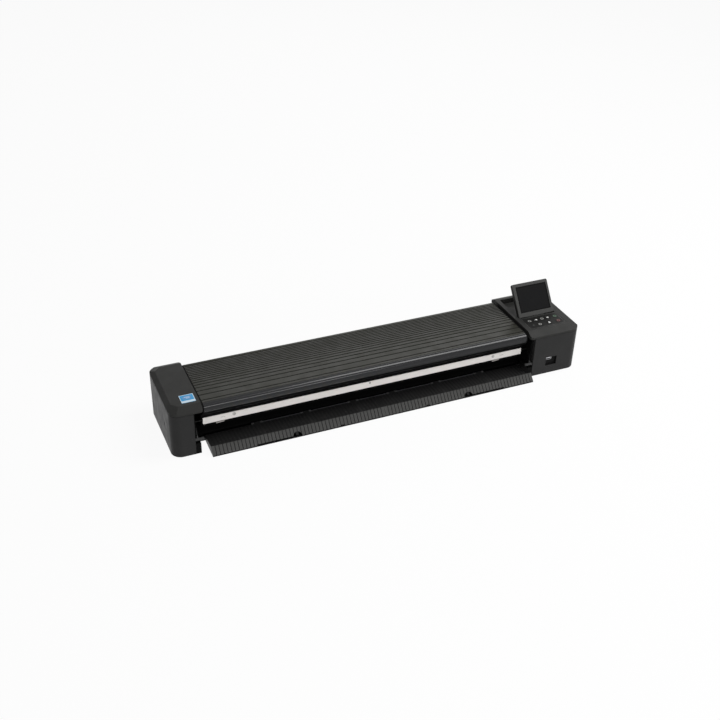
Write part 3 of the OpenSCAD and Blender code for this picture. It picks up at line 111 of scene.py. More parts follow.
def linear(r, g, b):
    """A colour as it shows on screen, 0 to 255, as the linear colour of a shader."""
    shown = np.array([r, g, b]) / 255.0
    curve = ((shown + 0.055) / 1.055) ** 2.4
    return tuple(np.where(shown <= 0.04045, shown / 12.92, curve)) + (1.0,)


def scaled(colour, share):
    """A colour made lighter or darker by a share."""
    return tuple(c * share for c in colour[:3]) + (1.0,)


# Materials

def as_colour(value):
    """A colour as it is, or a grey level as a colour."""
    return value if isinstance(value, tuple) else (value, value, value, 1.0)


class Shader:
    """A node tree with one principled shader, filled in step by step."""

    def __init__(self, name):
        self.material = bpy.data.materials.new(name)
        self.material.use_nodes = True
        self.nodes = self.material.node_tree.nodes
        self.links = self.material.node_tree.links
        self.main = self.nodes["Principled BSDF"]
        self.place = self.nodes.new("ShaderNodeTexCoord")

    def set(self, **values):
        for name, value in values.items():
            self.main.inputs[name.replace("_", " ")].default_value = value
        return self

    def noise(self, size, detail=3.0, stretch=(1, 1, 1)):
        """Noise whose blobs are about size millimetres across, stretched along the axes."""
        turn = self.nodes.new("ShaderNodeMapping")
        turn.inputs["Scale"].default_value = tuple(1.0 / (size * MM * s) for s in stretch)
        cloud = self.nodes.new("ShaderNodeTexNoise")
        cloud.inputs["Scale"].default_value = 1.0
        cloud.inputs["Detail"].default_value = detail
        self.links.new(self.place.outputs["Object"], turn.inputs["Vector"])
        self.links.new(turn.outputs["Vector"], cloud.inputs["Vector"])
        return cloud.outputs["Fac"]

    def spread(self, source, low, high, start=0.35, end=0.65):
        """Maps a noise onto the range from low to high, numbers or colours."""
        ramp = self.nodes.new("ShaderNodeValToRGB")
        ramp.color_ramp.elements[0].position = start
        ramp.color_ramp.elements[1].position = end
        for element, value in zip(ramp.color_ramp.elements, (low, high)):
            element.color = as_colour(value)
        self.links.new(source, ramp.inputs["Fac"])
        return ramp.outputs["Color"]

    def colour(self, value, mottle=0.06, size=40.0, stretch=(1, 1, 1)):
        """Base colour that wanders a little about its value."""
        cloud = self.noise(size, 4.0, stretch)
        shade = self.spread(cloud, scaled(value, 1 - mottle), scaled(value, 1 + mottle))
        self.links.new(shade, self.main.inputs["Base Color"])
        return self

    def roughness(self, value, swing=0.05, size=18.0, stretch=(1, 1, 1)):
        self.links.new(self.spread(self.noise(size, 3.0, stretch), value - swing, value + swing),
                       self.main.inputs["Roughness"])
        return self

    def grain(self, height, size, detail=2.0, stretch=(1, 1, 1)):
        """Fine bumps of the given height and size in millimetres."""
        bump = self.nodes.new("ShaderNodeBump")
        bump.inputs["Strength"].default_value = 1.0
        bump.inputs["Distance"].default_value = height * MM
        self.links.new(self.noise(size, detail, stretch), bump.inputs["Height"])
        self.links.new(bump.outputs["Normal"], self.main.inputs["Normal"])
        return self


def moulded(name, colour, rough=0.5, height=0.02, size=0.7, mottle=0.05, **more):
    """Moulded plastic with a spark-eroded grain."""
    shader = Shader(name).colour(colour, mottle).roughness(rough)
    return shader.grain(height, size).set(**more).material


def grooved_painted_shade(name, land, groove_shade):
    """Painted extrusion, with painted shade: a darker colour where the depth below the sloping plane of the
    lands grows.
    """
    shader = Shader(name).roughness(0.36).grain(0.008, 0.6)
    apart = shader.nodes.new("ShaderNodeSeparateXYZ")
    shader.links.new(shader.place.outputs["Object"], apart.inputs["Vector"])
    plane = shader.nodes.new("ShaderNodeMapRange")
    plane.inputs["From Min"].default_value = spot(0, LID_FRONT_Y, 0)[1]
    plane.inputs["From Max"].default_value = spot(0, LID_BACK_Y, 0)[1]
    plane.inputs["To Min"].default_value = LID_FRONT_Z
    plane.inputs["To Max"].default_value = LID_BACK_Z
    shader.links.new(apart.outputs["Y"], plane.inputs["Value"])
    depth = shader.nodes.new("ShaderNodeMath")
    depth.operation = "SUBTRACT"
    shader.links.new(plane.outputs["Result"], depth.inputs[0])
    shader.links.new(apart.outputs["Z"], depth.inputs[1])
    share = shader.nodes.new("ShaderNodeMapRange")
    share.inputs["From Min"].default_value = 0.1 * MM
    share.inputs["From Max"].default_value = 0.7 * MM
    shader.links.new(depth.outputs["Value"], share.inputs["Value"])
    wander = shader.spread(shader.noise(50.0, 4.0), scaled(land, 0.95), scaled(land, 1.05))
    # Painted shade: the lands' colour turns to the groove colour as the depth grows
    shade = blended(shader, share.outputs["Result"], wander, groove_shade)
    shader.links.new(shade, shader.main.inputs["Base Color"])
    return shader.set(Specular_IOR_Level=0.13).material


def split_at(shader, axis, level, below, above, width=1.0):
    """Goes from below to above as a coordinate passes a level in metres, over width millimetres."""
    apart = shader.nodes.new("ShaderNodeSeparateXYZ")
    shader.links.new(shader.place.outputs["Object"], apart.inputs["Vector"])
    share = shader.nodes.new("ShaderNodeMapRange")
    share.inputs["From Min"].default_value = level - width * MM / 2
    share.inputs["From Max"].default_value = level + width * MM / 2
    shader.links.new(apart.outputs[axis], share.inputs["Value"])
    return blended(shader, share.outputs["Result"], below, above)


def blended(shader, share, first, second):
    """Mix of two colours, grey levels or sockets by a share."""
    blend = shader.nodes.new("ShaderNodeMixRGB")
    shader.links.new(share, blend.inputs["Fac"])
    for socket, value in (("Color1", first), ("Color2", second)):
        if isinstance(value, bpy.types.NodeSocket):
            shader.links.new(value, blend.inputs[socket])
        else:
            blend.inputs[socket].default_value = as_colour(value)
    return blend.outputs["Color"]


def ribbed_tray(name, flat, land, groove_shade):
    """Grained plastic with painted light and shade: the lip painted lighter than the flat, which stands in
    shade under the lid, and painted shade where the depth below the lip's face grows.
    """
    shader = Shader(name).roughness(0.45).grain(0.012, 0.5)
    crease = spot(0, CREASE_Y, CREASE_Z)
    across = (0.0, -math.sin(LIP_ANGLE), math.cos(LIP_ANGLE))
    measure = shader.nodes.new("ShaderNodeVectorMath")
    measure.operation = "DOT_PRODUCT"
    measure.inputs[1].default_value = across
    shader.links.new(shader.place.outputs["Object"], measure.inputs[0])
    share = shader.nodes.new("ShaderNodeMapRange")
    face = float(np.dot(crease, across))
    share.inputs["From Min"].default_value = face - 0.15 * MM
    share.inputs["From Max"].default_value = face - 0.55 * MM
    shader.links.new(measure.outputs["Value"], share.inputs["Value"])
    # Painted shade in the lip's grooves, then the lip painted lighter than the shaded flat
    lip = blended(shader, share.outputs["Result"], land, groove_shade)
    shade = split_at(shader, "Y", float(crease[1]), lip, flat)
    shader.links.new(shade, shader.main.inputs["Base Color"])
    return shader.set(Specular_IOR_Level=0.12).material


def two_tone(name, low, high, level, rough=0.4):
    """Moulded part in one colour below a height in millimetres and another above it."""
    shader = Shader(name).roughness(rough).grain(0.01, 0.6)
    shade = split_at(shader, "Z", level * MM, low, high, 2.0)
    shader.links.new(shade, shader.main.inputs["Base Color"])
    return shader.set(Specular_IOR_Level=0.06).material


def nose_finish(name, colour):
    """Glossy black, dull on the lowest band that looks down at the strip."""
    shader = Shader(name).grain(0.004, 9.0)
    bands = (("Base Color", 0.0015, colour), ("Roughness", 0.6, 0.17), ("Specular IOR Level", 0.04, 0.34))
    for socket, low, high in bands:
        value = split_at(shader, "Z", NOSE_DULL_Z * MM, low, high, 4.0)
        shader.links.new(value, shader.main.inputs[socket])
    return shader.material


def polished(name, colour, rough=0.15, **more):
    """Smooth glossy plastic with a faint waviness."""
    shader = Shader(name).colour(colour, 0.04, 60).roughness(rough, 0.03, 25)
    return shader.grain(0.004, 9.0).set(**more).material


def metal(name, colour, rough=0.3, along=(12, 1, 1), height=0.002):
    """Ground or rolled metal, its marks drawn out along an axis."""
    return (Shader(name).colour(colour, 0.08, 3, along).roughness(rough, 0.08, 2, along)
            .grain(height, 0.4, 3, along).set(Metallic=1.0).material)


def rubber(name, colour, rough=0.8):
    return Shader(name).colour(colour, 0.12, 6).roughness(rough, 0.06, 3).grain(0.03, 0.5).material


def circuit(name, colour):
    """Solder mask with darker copper fields under it."""
    shader = Shader(name)
    fields = shader.spread(shader.noise(3.0, 1.0), colour, scaled(colour, 1.6), 0.48, 0.52)
    shader.links.new(fields, shader.main.inputs["Base Color"])
    return shader.roughness(0.35).grain(0.03, 3.0).material


def glass(name):
    shader = Shader(name).roughness(0.02, 0.01)
    return shader.set(Base_Color=(0.86, 0.94, 0.93, 1.0), Transmission_Weight=1.0, IOR=1.5).material


FINISHES = {
    "housing_grey": moulded("housing_charcoal", linear(42, 42, 42), 0.42, 0.009, Specular_IOR_Level=0.08),
    "cover_grey": moulded("cover_charcoal", linear(45, 45, 44), 0.46, 0.008, Specular_IOR_Level=0.07),
    # The lid's grooves hold painted shade, darker with depth below the lands
    "ribbed_aluminium": grooved_painted_shade("lid_olive", linear(33, 33, 26), linear(8, 8, 6)),
    "nose_gloss": nose_finish("nose_black", linear(11, 12, 15)),
    "guide_gloss": polished("guide_piano_black", linear(3, 3, 3), 0.3, Specular_IOR_Level=0.03),
    "guide_black": polished("bed_black", linear(6, 6, 6), 0.4, Specular_IOR_Level=0.06),
    "strip_white": polished("strip_white", linear(220, 216, 213), 0.4),
    "black_frame": moulded("frame_black", linear(10, 10, 10), 0.7, Specular_IOR_Level=0.04),
    "black_steel": moulded("pan_black_paint", linear(24, 24, 25), 0.45, 0.01, 1.2),
    # One plastic: the lip is painted lighter than the flat, and its grooves hold painted shade
    "tray_black": ribbed_tray("tray_black", linear(31, 31, 31), linear(64, 64, 63), linear(17, 17, 17)),
    "bezel_grey": moulded("bezel_grey", linear(58, 58, 57), 0.45, Specular_IOR_Level=0.14),
    "display_shell": moulded("display_shell", linear(16, 16, 16), 0.5, Specular_IOR_Level=0.14),
    "screen_black": polished("screen_border", linear(5, 5, 5), 0.2, Specular_IOR_Level=0.1),
    "overlay_black": moulded("overlay_film", linear(17, 17, 16), 0.5, 0.006, 0.4, Specular_IOR_Level=0.1),
    "key_dark": moulded("key_film", linear(16, 16, 15), 0.45, 0.006, 0.4, Specular_IOR_Level=0.1),
    "key_green": moulded("key_film_start", linear(19, 24, 18), 0.45, 0.006, 0.4, Specular_IOR_Level=0.1),
    "key_red": moulded("key_film_stop", linear(25, 16, 15), 0.45, 0.006, 0.4, Specular_IOR_Level=0.1),
    "light_lens": polished("light_lens", linear(80, 88, 82), 0.2),
    "label_blue": polished("label_blue", linear(46, 146, 200), 0.4, Specular_IOR_Level=0.2),
    "latch_grey": two_tone("latch_black", linear(58, 58, 58), linear(9, 9, 9), LEVER_BLACK_Z),
    "steel": metal("ground_steel", linear(190, 190, 192), 0.25),
    "bracket_steel": metal("zinc_plate", linear(170, 172, 176), 0.35, (1, 6, 1)),
    "motor_metal": metal("motor_shell", linear(90, 91, 94), 0.4, (4, 1, 1)),
    "socket_metal": metal("nickel_plate", linear(205, 205, 208), 0.22, (1, 1, 1)),
    "bush": metal("bronze_bush", linear(176, 140, 84), 0.4, (1, 1, 1)),
    "brass": metal("pinion_brass", linear(212, 180, 110), 0.28, (1, 1, 1)),
    "head_aluminium": metal("head_anodised", linear(70, 70, 74), 0.42, (20, 1, 1)),
    "socket_black": moulded("socket_black", linear(22, 22, 23), 0.45),
    "screw_black": metal("screw_black", linear(60, 60, 62), 0.4, (1, 1, 1)),
    "gear_white": moulded("gear_nylon", linear(215, 213, 205), 0.4, 0.006, 2.0),
    "backing_white": polished("backing_white", linear(226, 225, 220), 0.35),
    "sensor_grey": moulded("sensor_body", linear(80, 82, 84), 0.45),
    "roller_rubber": rubber("roller_rubber", linear(40, 40, 42), 0.65),
    "foot_rubber": rubber("foot_rubber", linear(26, 26, 26)),
    "board_green": circuit("board_green", linear(16, 74, 46)),
    "glass": glass("scan_glass_clear"),
}
WHITE_INK = Shader("white_ink").colour(linear(222, 222, 220), 0.03, 4).roughness(0.5).material
GREY_INK = Shader("grey_ink").colour(linear(150, 150, 147), 0.03, 4).roughness(0.5).material
DARK_INK = Shader("dark_ink").colour(linear(46, 44, 43), 0.05, 4).roughness(0.5).material
GREEN_INK = Shader("green_ink").colour(linear(52, 84, 60), 0.05, 4).roughness(0.5).material
RED_INK = Shader("red_ink").colour(linear(92, 44, 42), 0.05, 4).roughness(0.5).material
PALE_FILM = Shader("label_white").colour(linear(196, 214, 226), 0.03, 5).roughness(0.4).material
DEEP_FILM = Shader("label_deep_blue").colour(linear(60, 132, 188), 0.04, 5).roughness(0.35).material
# Near black that paints the shade of hollows: the tray's notch cups and the socket recess
HOLLOW_PAINTED_SHADE = moulded("hollow_painted_shade", linear(12, 12, 12), 0.7, Specular_IOR_Level=0.1)
BORDER_LINE_GREY = Shader("border_line_grey").colour(linear(66, 66, 64), 0.04, 5).roughness(0.5).material
PALE_TAB = moulded("pale_tab", linear(150, 146, 142), 0.45)
ACTIVE_GLASS = polished("screen_glass", linear(8, 8, 9), 0.16, Specular_IOR_Level=0.14)


# Shapes

def piece(name, points, faces, body, material, smooth=False):
    """A mesh object from arrays of points in metres and of faces, riding on a body."""
    mesh = bpy.data.meshes.new(name)
    corners = [tuple(p) for p in np.asarray(points, float)]
    mesh.from_pydata(corners, [], [tuple(int(i) for i in f) for f in faces])
    mesh.validate()
    mesh.polygons.foreach_set("use_smooth", np.full(len(mesh.polygons), smooth))
    mesh.materials.append(material)
    thing = bpy.data.objects.new(name, mesh)
    bpy.context.scene.collection.objects.link(thing)
    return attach(thing, body)


def plate(outline, low, high):
    """Points and faces of a flat plate: an outline in the XY plane lifted from low to high."""
    flat = np.asarray(outline, float)
    n = len(flat)
    points = np.vstack([np.column_stack([flat, np.full(n, z)]) for z in (low, high)])
    ring = np.arange(n)
    ahead = (ring + 1) % n
    sides = np.column_stack([ring, ahead, ahead + n, ring + n])
    return points, [ring[::-1], ring + n, *sides]


def ring_plate(outer, inner, low, high, steps=40):
    """Points and faces of a flat ring: two circles about the origin lifted from low to high."""
    turn = np.linspace(0, 2 * math.pi, steps, endpoint=False)
    circle = np.column_stack([np.cos(turn), np.sin(turn)])
    loops = [np.column_stack([circle * r, np.full(steps, z)]) for r, z in
             ((outer, low), (outer, high), (inner, high), (inner, low))]
    here = np.arange(steps)
    ahead = (here + 1) % steps
    faces = [np.column_stack([here + a * steps, ahead + a * steps, ahead + b * steps, here + b * steps])
             for a, b in ((0, 1), (1, 2), (2, 3), (3, 0))]
    return np.vstack(loops), np.vstack(faces)


def turned(points, matrix):
    """Points in millimetres carried by a 4x4 matrix into the row frame."""
    full = np.column_stack([np.asarray(points, float), np.ones(len(points))])
    return (full @ np.array(matrix).T)[:, :3]


def facing_front(x, y, z):
    """Matrix from a drawing in millimetres to an upright face that looks forwards."""
    upright = Matrix.Rotation(math.pi / 2, 4, "X")
    return Matrix.Translation(Vector(spot(x, y, z))) @ upright @ Matrix.Scale(MM, 4)


def rounded_rectangle(w, h, r, steps=6):
    """Outline of a rectangle about the origin with quarter circles at its corners."""
    turn = np.linspace(0, math.pi / 2, steps)
    loops = []
    for quarter, (sx, sy) in enumerate(((1, 1), (-1, 1), (-1, -1), (1, -1))):
        angle = turn + quarter * math.pi / 2
        cx, cy = sx * (w / 2 - r), sy * (h / 2 - r)
        loops.append(np.column_stack([cx + r * np.cos(angle), cy + r * np.sin(angle)]))
    return np.vstack(loops)


def rounded(node, width, segments=2, sharp=28.0):
    """A copy of a CAD node, its triangles joined and its sharp edges rounded by width millimetres."""
    source = frame["nodes"][node]
    work = bmesh.new()
    work.from_mesh(source.data)
    bmesh.ops.remove_doubles(work, verts=work.verts, dist=0.002 * MM)
    bmesh.ops.dissolve_limit(work, angle_limit=math.radians(0.4), verts=work.verts, edges=work.edges)
    bmesh.ops.recalc_face_normals(work, faces=work.faces)
    mesh = bpy.data.meshes.new(node + "_rounded")
    work.to_mesh(mesh)
    work.free()
    mesh.polygons.foreach_set("use_smooth", np.full(len(mesh.polygons), True))
    mesh.set_sharp_from_angle(angle=math.radians(sharp))
    thing = bpy.data.objects.new(node + "_rounded", mesh)
    bpy.context.scene.collection.objects.link(thing)
    edge = thing.modifiers.new("edge", "BEVEL")
    edge.width = width * MM
    edge.segments = segments
    edge.limit_method = "ANGLE"
    edge.angle_limit = math.radians(sharp)
    edge.use_clamp_overlap = True
    edge.harden_normals = True
    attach(thing, source["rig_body"])
    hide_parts(node)
    mesh.materials.append(FINISHES[SLOT_OF[node]])
    return thing


SLOT_OF = {part["node"]: part["material_slot"] for part in frame["record"]["subparts"]}


def dress_nodes():
    """Gives every CAD node the finish of its slot."""
    for name, node in frame["nodes"].items():
        node.data.materials.clear()
        node.data.materials.append(FINISHES[SLOT_OF[name]])


# Width of the rounded edge of each moulding that shows, in millimetres
EDGES = {
    "left_end_housing": 0.5, "right_end_housing": 0.5, "left_end_cover": 0.6, "right_end_cover": 0.6,
    "lid_panel": 0.25, "lid_nose_trim": 0.35, "media_strip": 0.2,
    "tray_left_half": 0.2, "tray_right_half": 0.2,
    "display_bezel": 0.45, "display_back": 0.8, "left_side_frame": 0.3, "right_side_frame": 0.3,
    "rear_cover": 0.5, "lid_left_end_plate": 0.3, "lid_right_end_plate": 0.3, "keypad_overlay": 0.2,
    "key_home": 0.25, "key_left": 0.25, "key_menu": 0.25, "key_down": 0.25,
    "key_back": 0.25, "key_up": 0.25, "key_start": 0.25, "key_stop": 0.25,
}


# Marks on the keys, drawn in millimetres about each key's middle

KEY_TOP = 100.3
INK = 0.05


def pointer(size, heading):
    """Outline of a triangle that points along a heading in degrees."""
    turn = np.radians(heading) + np.array([0, 2.3, -2.3])
    return np.column_stack([size * np.cos(turn), size * np.sin(turn)])


def key_marks():
    """A ring or a pointer on each key, moving with it."""
    middle = {name: sum(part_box(name), Vector()) / 2 for name in EDGES if name.startswith("key_")}
    symbols = {
        "key_home": ("ring", GREY_INK), "key_left": (180, WHITE_INK), "key_menu": ("ring", GREY_INK),
        "key_down": (-90, WHITE_INK), "key_back": ("ring", GREY_INK), "key_up": (90, WHITE_INK),
        "key_start": ("ring", GREEN_INK), "key_stop": ("ring", RED_INK),
    }
    for key, (form, ink) in symbols.items():
        x, y = middle[key].x, middle[key].y
        if form == "ring":
            points, faces = ring_plate(3.3, 2.0, 0.0, INK)
        else:
            points, faces = plate(pointer(3.5, form), 0.0, INK)
        place = Matrix.Translation((x, y, KEY_TOP * MM)) @ Matrix.Scale(MM, 4)
        piece(key + "_mark", turned(points, place), faces, key, ink)


# Marks on the white strip

STRIP_FACE_Y = 22.95


def strip_marks():
    """The dark pointer, rings and ticks printed on the strip's face."""
    def mark(name, drawing, x, z, ink=DARK_INK):
        points, faces = drawing
        place = facing_front(x, STRIP_FACE_Y, z)
        piece(name, turned(points, place), faces, "lid", ink)

    mark("strip_middle_mark", plate(pointer(2.6, -90), 0.0, INK), 385.6, 54.6)
    for name, x in (("strip_left_ring", 120.5), ("strip_right_ring", 649.1)):
        mark(name, ring_plate(2.9, 2.2, 0.0, INK), x, 53.4)
        mark(name + "_pointer", plate(pointer(1.8, -90), 0.0, INK), x, 53.0)
    for name, x in (("strip_left_tick", 99.6), ("strip_right_tick", 668.4)):
        mark(name, plate(rounded_rectangle(9.0, 0.5, 0.2), 0.0, INK), x, 52.3)


# Front rim of the tray, and the cups that close its finger notches from below, their hollows in painted
# shade

RIM_T = 1.2


def prism(profile, x0, x1):
    """Points and faces of a bar along x: a closed profile in the YZ plane carried from x0 to x1."""
    shape = np.asarray(profile, float)
    n = len(shape)
    points = np.vstack([np.column_stack([np.full(n, x), shape]) for x in (x0, x1)])
    ring = np.arange(n)
    ahead = (ring + 1) % n
    return points, [ring[::-1], ring + n, *np.column_stack([ring, ahead, ahead + n, ring + n])]


def joined(parts):
    """Points and faces of several closed shapes as one."""
    starts = np.cumsum([0] + [len(points) for points, _ in parts])
    faces = [[start + i for i in face] for start, (_, own) in zip(starts, parts) for face in own]
    return np.vstack([points for points, _ in parts]), faces


def tray_rim(side, sign):
    """Rim, end wall and notch cup of one tray half, with sign -1 for the left half and 1 for the right."""
    low, high = (np.array(corner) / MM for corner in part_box(side))
    seam = high[0] if sign < 0 else low[0]
    reach, top = low[1], low[2] + TRAY_T * math.cos(LIP_ANGLE)
    foot, shelf = 0.5, 1.2
    bracket = [(reach, top - 0.5), (reach, foot), (reach + 7.0, foot), (reach + 7.0, shelf),
               (reach + RIM_T, shelf), (reach + RIM_T, top - 0.5)]
    points, faces = prism(bracket, low[0] + 0.1, high[0] - 0.1)
    piece(side + "_rim", points * MM, faces, "tray", FINISHES["tray_black"])
    end = low[0] if sign < 0 else high[0]
    inner = [(reach + 0.2, top - 0.6), (reach + 0.2, foot)]
    if sign < 0:
        inner += [(WALL_BACK_Y + BODY_Y, 3.0), (WALL_BACK_Y + BODY_Y, 12.3)]
    else:
        inner += [(CREASE_Y + BODY_Y + 2.0, foot), (CREASE_Y + BODY_Y + 2.0, CREASE_Z - 1.5)]
    inner += [(CREASE_Y + BODY_Y + 0.5, CREASE_Z - 1.2)]
    points, faces = prism(inner, *sorted((end + sign * 0.02, end - sign * 1.4)))
    piece(side + "_end_wall", points * MM, faces, "tray", FINISHES["black_steel"])
    notch = seam + sign * NOTCH_OFF
    deep, wall = 11.0, 0.8
    rise = math.tan(LIP_ANGLE)
    under = low[2] + (deep - TRAY_T * math.sin(LIP_ANGLE)) * rise
    half = NOTCH_R + 1.5
    back = reach + deep
    slope = [(reach + RIM_T, shelf), (back, shelf), (back, under), (reach + 2.0, low[2] + 0.4)]
    floor = [(reach + 6.0, foot), (back, foot), (back, shelf), (reach + 6.0, shelf)]
    rear = [(back - wall, shelf), (back, shelf), (back, under), (back - wall, under)]
    points, faces = joined([
        prism(floor, notch - half, notch + half), prism(rear, notch - half, notch + half),
        prism(slope, notch - half, notch - half + wall), prism(slope, notch + half - wall, notch + half)])
    # The cup is near black: painted shade of the notch hollow
    piece(side + "_cup", points * MM, faces, "tray", HOLLOW_PAINTED_SHADE)


# Painted shade lining the front socket's recess: a black sheet, open round the socket

def socket_well():
    """Four side strips of the recess and four behind them round the socket, in body millimetres."""
    x0, x1, z0, z1 = 758.85, 783.25, 19.65, 38.55
    front, back, sheet = 0.4, 4.95, 0.3
    rear = back - sheet
    socket_x0, socket_x1, socket_z0, socket_z1 = 760.0, 773.9, 30.2, 36.8
    strips = [(x0, x1, front, back, z0, z0 + sheet), (x0, x1, front, back, z1 - sheet, z1),
              (x0, x0 + sheet, front, back, z0, z1), (x1 - sheet, x1, front, back, z0, z1),
              (x0, x1, rear, back, z0, socket_z0), (x0, x1, rear, back, socket_z1, z1),
              (x0, socket_x0, rear, back, socket_z0, socket_z1),
              (socket_x1, x1, rear, back, socket_z0, socket_z1)]
    points, faces = joined([prism([(y0, low), (y1, low), (y1, high), (y0, high)], start, end)
                            for start, end, y0, y1, low, high in strips])
    placed = (points + [BODY_X, BODY_Y, 0.0]) * MM
    # The lining is painted shade of the recess
    piece("socket_well", placed, faces, "base", HOLLOW_PAINTED_SHADE)


# Fine lighter border lines on the keypad overlay

def overlay_border():
    """Four thin lines set in from the overlay's edges."""
    low, high = (np.array(corner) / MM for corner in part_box("keypad_overlay"))
    w, h = high[0] - low[0] - 2.4, high[1] - low[1] - 2.4
    x, y = (low[0] + high[0]) / 2, (low[1] + high[1]) / 2
    line = 0.5
    sides = ((w, line, 0, h / 2), (w, line, 0, -h / 2), (line, h, w / 2, 0), (line, h, -w / 2, 0))
    points, faces = joined([plate(rounded_rectangle(a, b, 0.15) + [x + dx, y + dy], high[2], high[2] + INK)
                            for a, b, dx, dy in sides])
    piece("overlay_border", points * MM, faces, "base", BORDER_LINE_GREY)


# Pale sensor tabs under the white strip

def strip_tabs():
    """A thin plate near each end of the strip, hanging just below it."""
    for name, x in (("strip_left_tab", 94.0), ("strip_right_tab", 655.2)):
        points, faces = plate(rounded_rectangle(15.5, 1.9, 0.8), 0.0, 0.9)
        place = facing_front(x, STRIP_FACE_Y - 0.2, 43.4) @ Matrix.Rotation(math.radians(3), 4, "Z")
        piece(name, turned(points, place), faces, "lid", PALE_TAB)


# Plain generic label on the left cover

def cover_label():
    """Thin films stacked on the label: border, field, panel and two lines."""
    low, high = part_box("energy_label")
    x, y = (low.x + high.x) / 2, (low.y + high.y) / 2
    place = Matrix.Translation((x, y, high.z)) @ Matrix.Scale(MM, 4)

    def film(name, outline, low_z, high_z, material):
        points, faces = plate(outline, low_z, high_z)
        piece(name, turned(points, place), faces, "base", material)

    film("label_border", rounded_rectangle(25.3, 23.8, 0.6), 0.0, 0.03, PALE_FILM)
    film("label_field", rounded_rectangle(23.0, 16.6, 0.5) + [0.0, 2.4], 0.03, 0.06, FINISHES["label_blue"])
    film("label_panel", rounded_rectangle(17.0, 10.4, 4.6) + [0.0, 2.6], 0.06, 0.08, DEEP_FILM)
    film("label_line_upper", rounded_rectangle(10.5, 1.2, 0.5) + [0.0, 4.2], 0.08, 0.1, PALE_FILM)
    film("label_line_lower", rounded_rectangle(7.0, 1.2, 0.5) + [1.5, 1.0], 0.08, 0.1, PALE_FILM)


# Display face

DISPLAY_TILT = math.radians(53.7)
DISPLAY_AXIS = (728.3, 67.3, 95.2)
PANEL_FACE = 3.5


def display_face():
    """The screen's active area, a thin film on the panel's face."""
    place = (Matrix.Translation(Vector(spot(*DISPLAY_AXIS))) @ Matrix.Rotation(DISPLAY_TILT, 4, "X")
             @ Matrix.Scale(MM, 4))
    points, faces = plate(rounded_rectangle(64.0, 48.0, 0.4) + [40.5, 37.8], PANEL_FACE, PANEL_FACE + 0.12)
    face = piece("screen_active_area", turned(points, place), faces, "display", ACTIVE_GLASS)


# Floor, light and camera

def seen_rays(nodes, links):
    """One for a ray that shows the background: straight, mirrored or through glass."""
    path = nodes.new("ShaderNodeLightPath")
    found = path.outputs["Is Camera Ray"]
    for kind in ("Is Glossy Ray", "Is Transmission Ray"):
        either = nodes.new("ShaderNodeMath")
        either.operation = "MAXIMUM"
        links.new(found, either.inputs[0])
        links.new(path.outputs[kind], either.inputs[1])
        found = either.outputs[0]
    return found


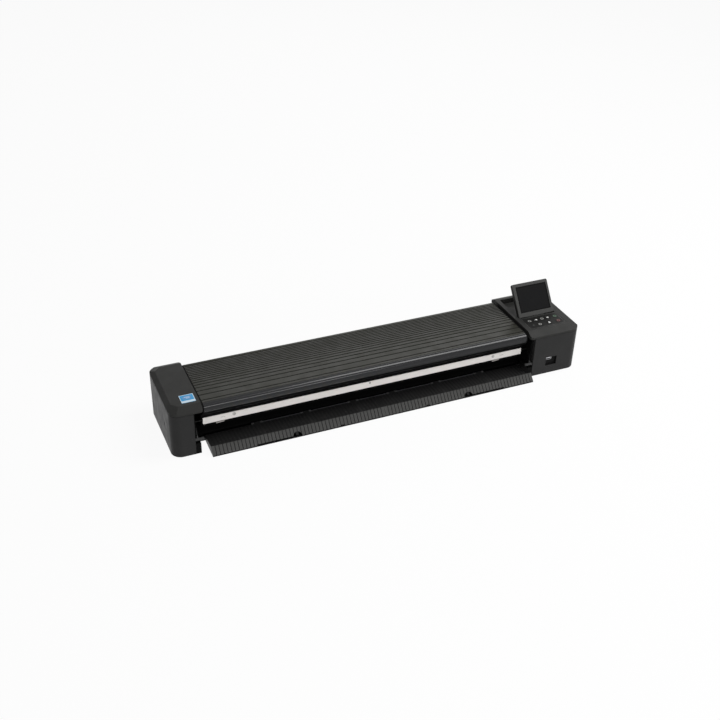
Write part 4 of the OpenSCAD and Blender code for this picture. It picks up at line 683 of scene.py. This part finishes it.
def studio():
    """A white floor that keeps shadows, and a white surround that lights more softly than it shows."""
    white = bpy.data.materials.new("studio_white")
    white.use_nodes = True
    nodes, links = white.node_tree.nodes, white.node_tree.links
    nodes.clear()
    out = nodes.new("ShaderNodeOutputMaterial")
    blend = nodes.new("ShaderNodeMixShader")
    matt = nodes.new("ShaderNodeBsdfDiffuse")
    matt.inputs["Color"].default_value = as_colour(FLOOR_GREY)
    glow = nodes.new("ShaderNodeEmission")
    share = nodes.new("ShaderNodeMath")
    share.operation = "MULTIPLY"
    share.inputs[1].default_value = FLOOR_WHITE
    links.new(seen_rays(nodes, links), share.inputs[0])
    links.new(share.outputs[0], blend.inputs["Fac"])
    links.new(matt.outputs[0], blend.inputs[1])
    links.new(glow.outputs[0], blend.inputs[2])
    links.new(blend.outputs[0], out.inputs["Surface"])
    corners = np.array([[-1, -1, 0], [1, -1, 0], [1, 1, 0], [-1, 1, 0]]) * FLOOR_REACH
    mesh = bpy.data.meshes.new("studio_floor")
    mesh.from_pydata([tuple(c) for c in corners], [], [(0, 1, 2, 3)])
    mesh.materials.append(white)
    floor = bpy.data.objects.new("studio_floor", mesh)
    bpy.context.scene.collection.objects.link(floor)

    world = bpy.data.worlds.new("studio")
    bpy.context.scene.world = world
    world.use_nodes = True
    nodes, links = world.node_tree.nodes, world.node_tree.links
    nodes.clear()
    out = nodes.new("ShaderNodeOutputWorld")
    mixed = nodes.new("ShaderNodeMixShader")
    soft = nodes.new("ShaderNodeBackground")
    soft.inputs["Strength"].default_value = SKY_LEVEL
    seen = nodes.new("ShaderNodeBackground")
    seen.inputs["Color"].default_value = (1.0, 1.0, 1.0, 1.0)
    links.new(seen_rays(nodes, links), mixed.inputs["Fac"])
    links.new(soft.outputs[0], mixed.inputs[1])
    links.new(seen.outputs[0], mixed.inputs[2])
    links.new(mixed.outputs[0], out.inputs["Surface"])


def lamp(name, at, size, power):
    """A soft rectangular lamp that looks at the middle of the body."""
    light = bpy.data.lights.new(name, "AREA")
    light.shape = "RECTANGLE"
    light.size, light.size_y = size
    light.energy = power
    thing = bpy.data.objects.new(name, light)
    bpy.context.scene.collection.objects.link(thing)
    thing.location = at
    thing.rotation_mode = "QUATERNION"
    thing.rotation_quaternion = (Vector((0, 0, 0.05)) - Vector(at)).to_track_quat("-Z", "Y")


def camera():
    """The photograph's camera, from its heading, fall and roll."""
    heading, fall = CAMERA_HEADING, CAMERA_FALL
    flat = math.cos(fall)
    ahead = Vector((math.sin(heading) * flat, math.cos(heading) * flat, -math.sin(fall)))
    level = ahead.cross(Vector((0, 0, 1))).normalized()
    upright = level.cross(ahead)
    right = math.cos(CAMERA_ROLL) * level + math.sin(CAMERA_ROLL) * upright
    up = math.cos(CAMERA_ROLL) * upright - math.sin(CAMERA_ROLL) * level
    lens = bpy.data.cameras.new("photo_camera")
    lens.lens = CAMERA_LENS
    lens.sensor_width = SENSOR
    lens.clip_end = 50.0
    thing = bpy.data.objects.new("photo_camera", lens)
    bpy.context.scene.collection.objects.link(thing)
    turn = Matrix((right, up, -ahead)).transposed().to_4x4()
    thing.matrix_world = Matrix.Translation(CAMERA_AT) @ turn
    bpy.context.scene.camera = thing


dress_nodes()
for name, width in EDGES.items():
    rounded(name, width)
key_marks()
strip_marks()
strip_tabs()
socket_well()
overlay_border()
tray_rim("tray_left_half", -1)
tray_rim("tray_right_half", 1)
cover_label()
display_face()
studio()
lamp("side_soft_box", (1.45, -0.45, 2.2), (1.2, 2.1), 56)
lamp("back_soft_box", (1.1, 2.4, 1.7), (2.0, 1.0), 13)
lamp("front_soft_box", (-0.1, -3.0, 0.8), (2.4, 0.8), 48)
camera()
bpy.context.scene.view_settings.view_transform = "Standard"
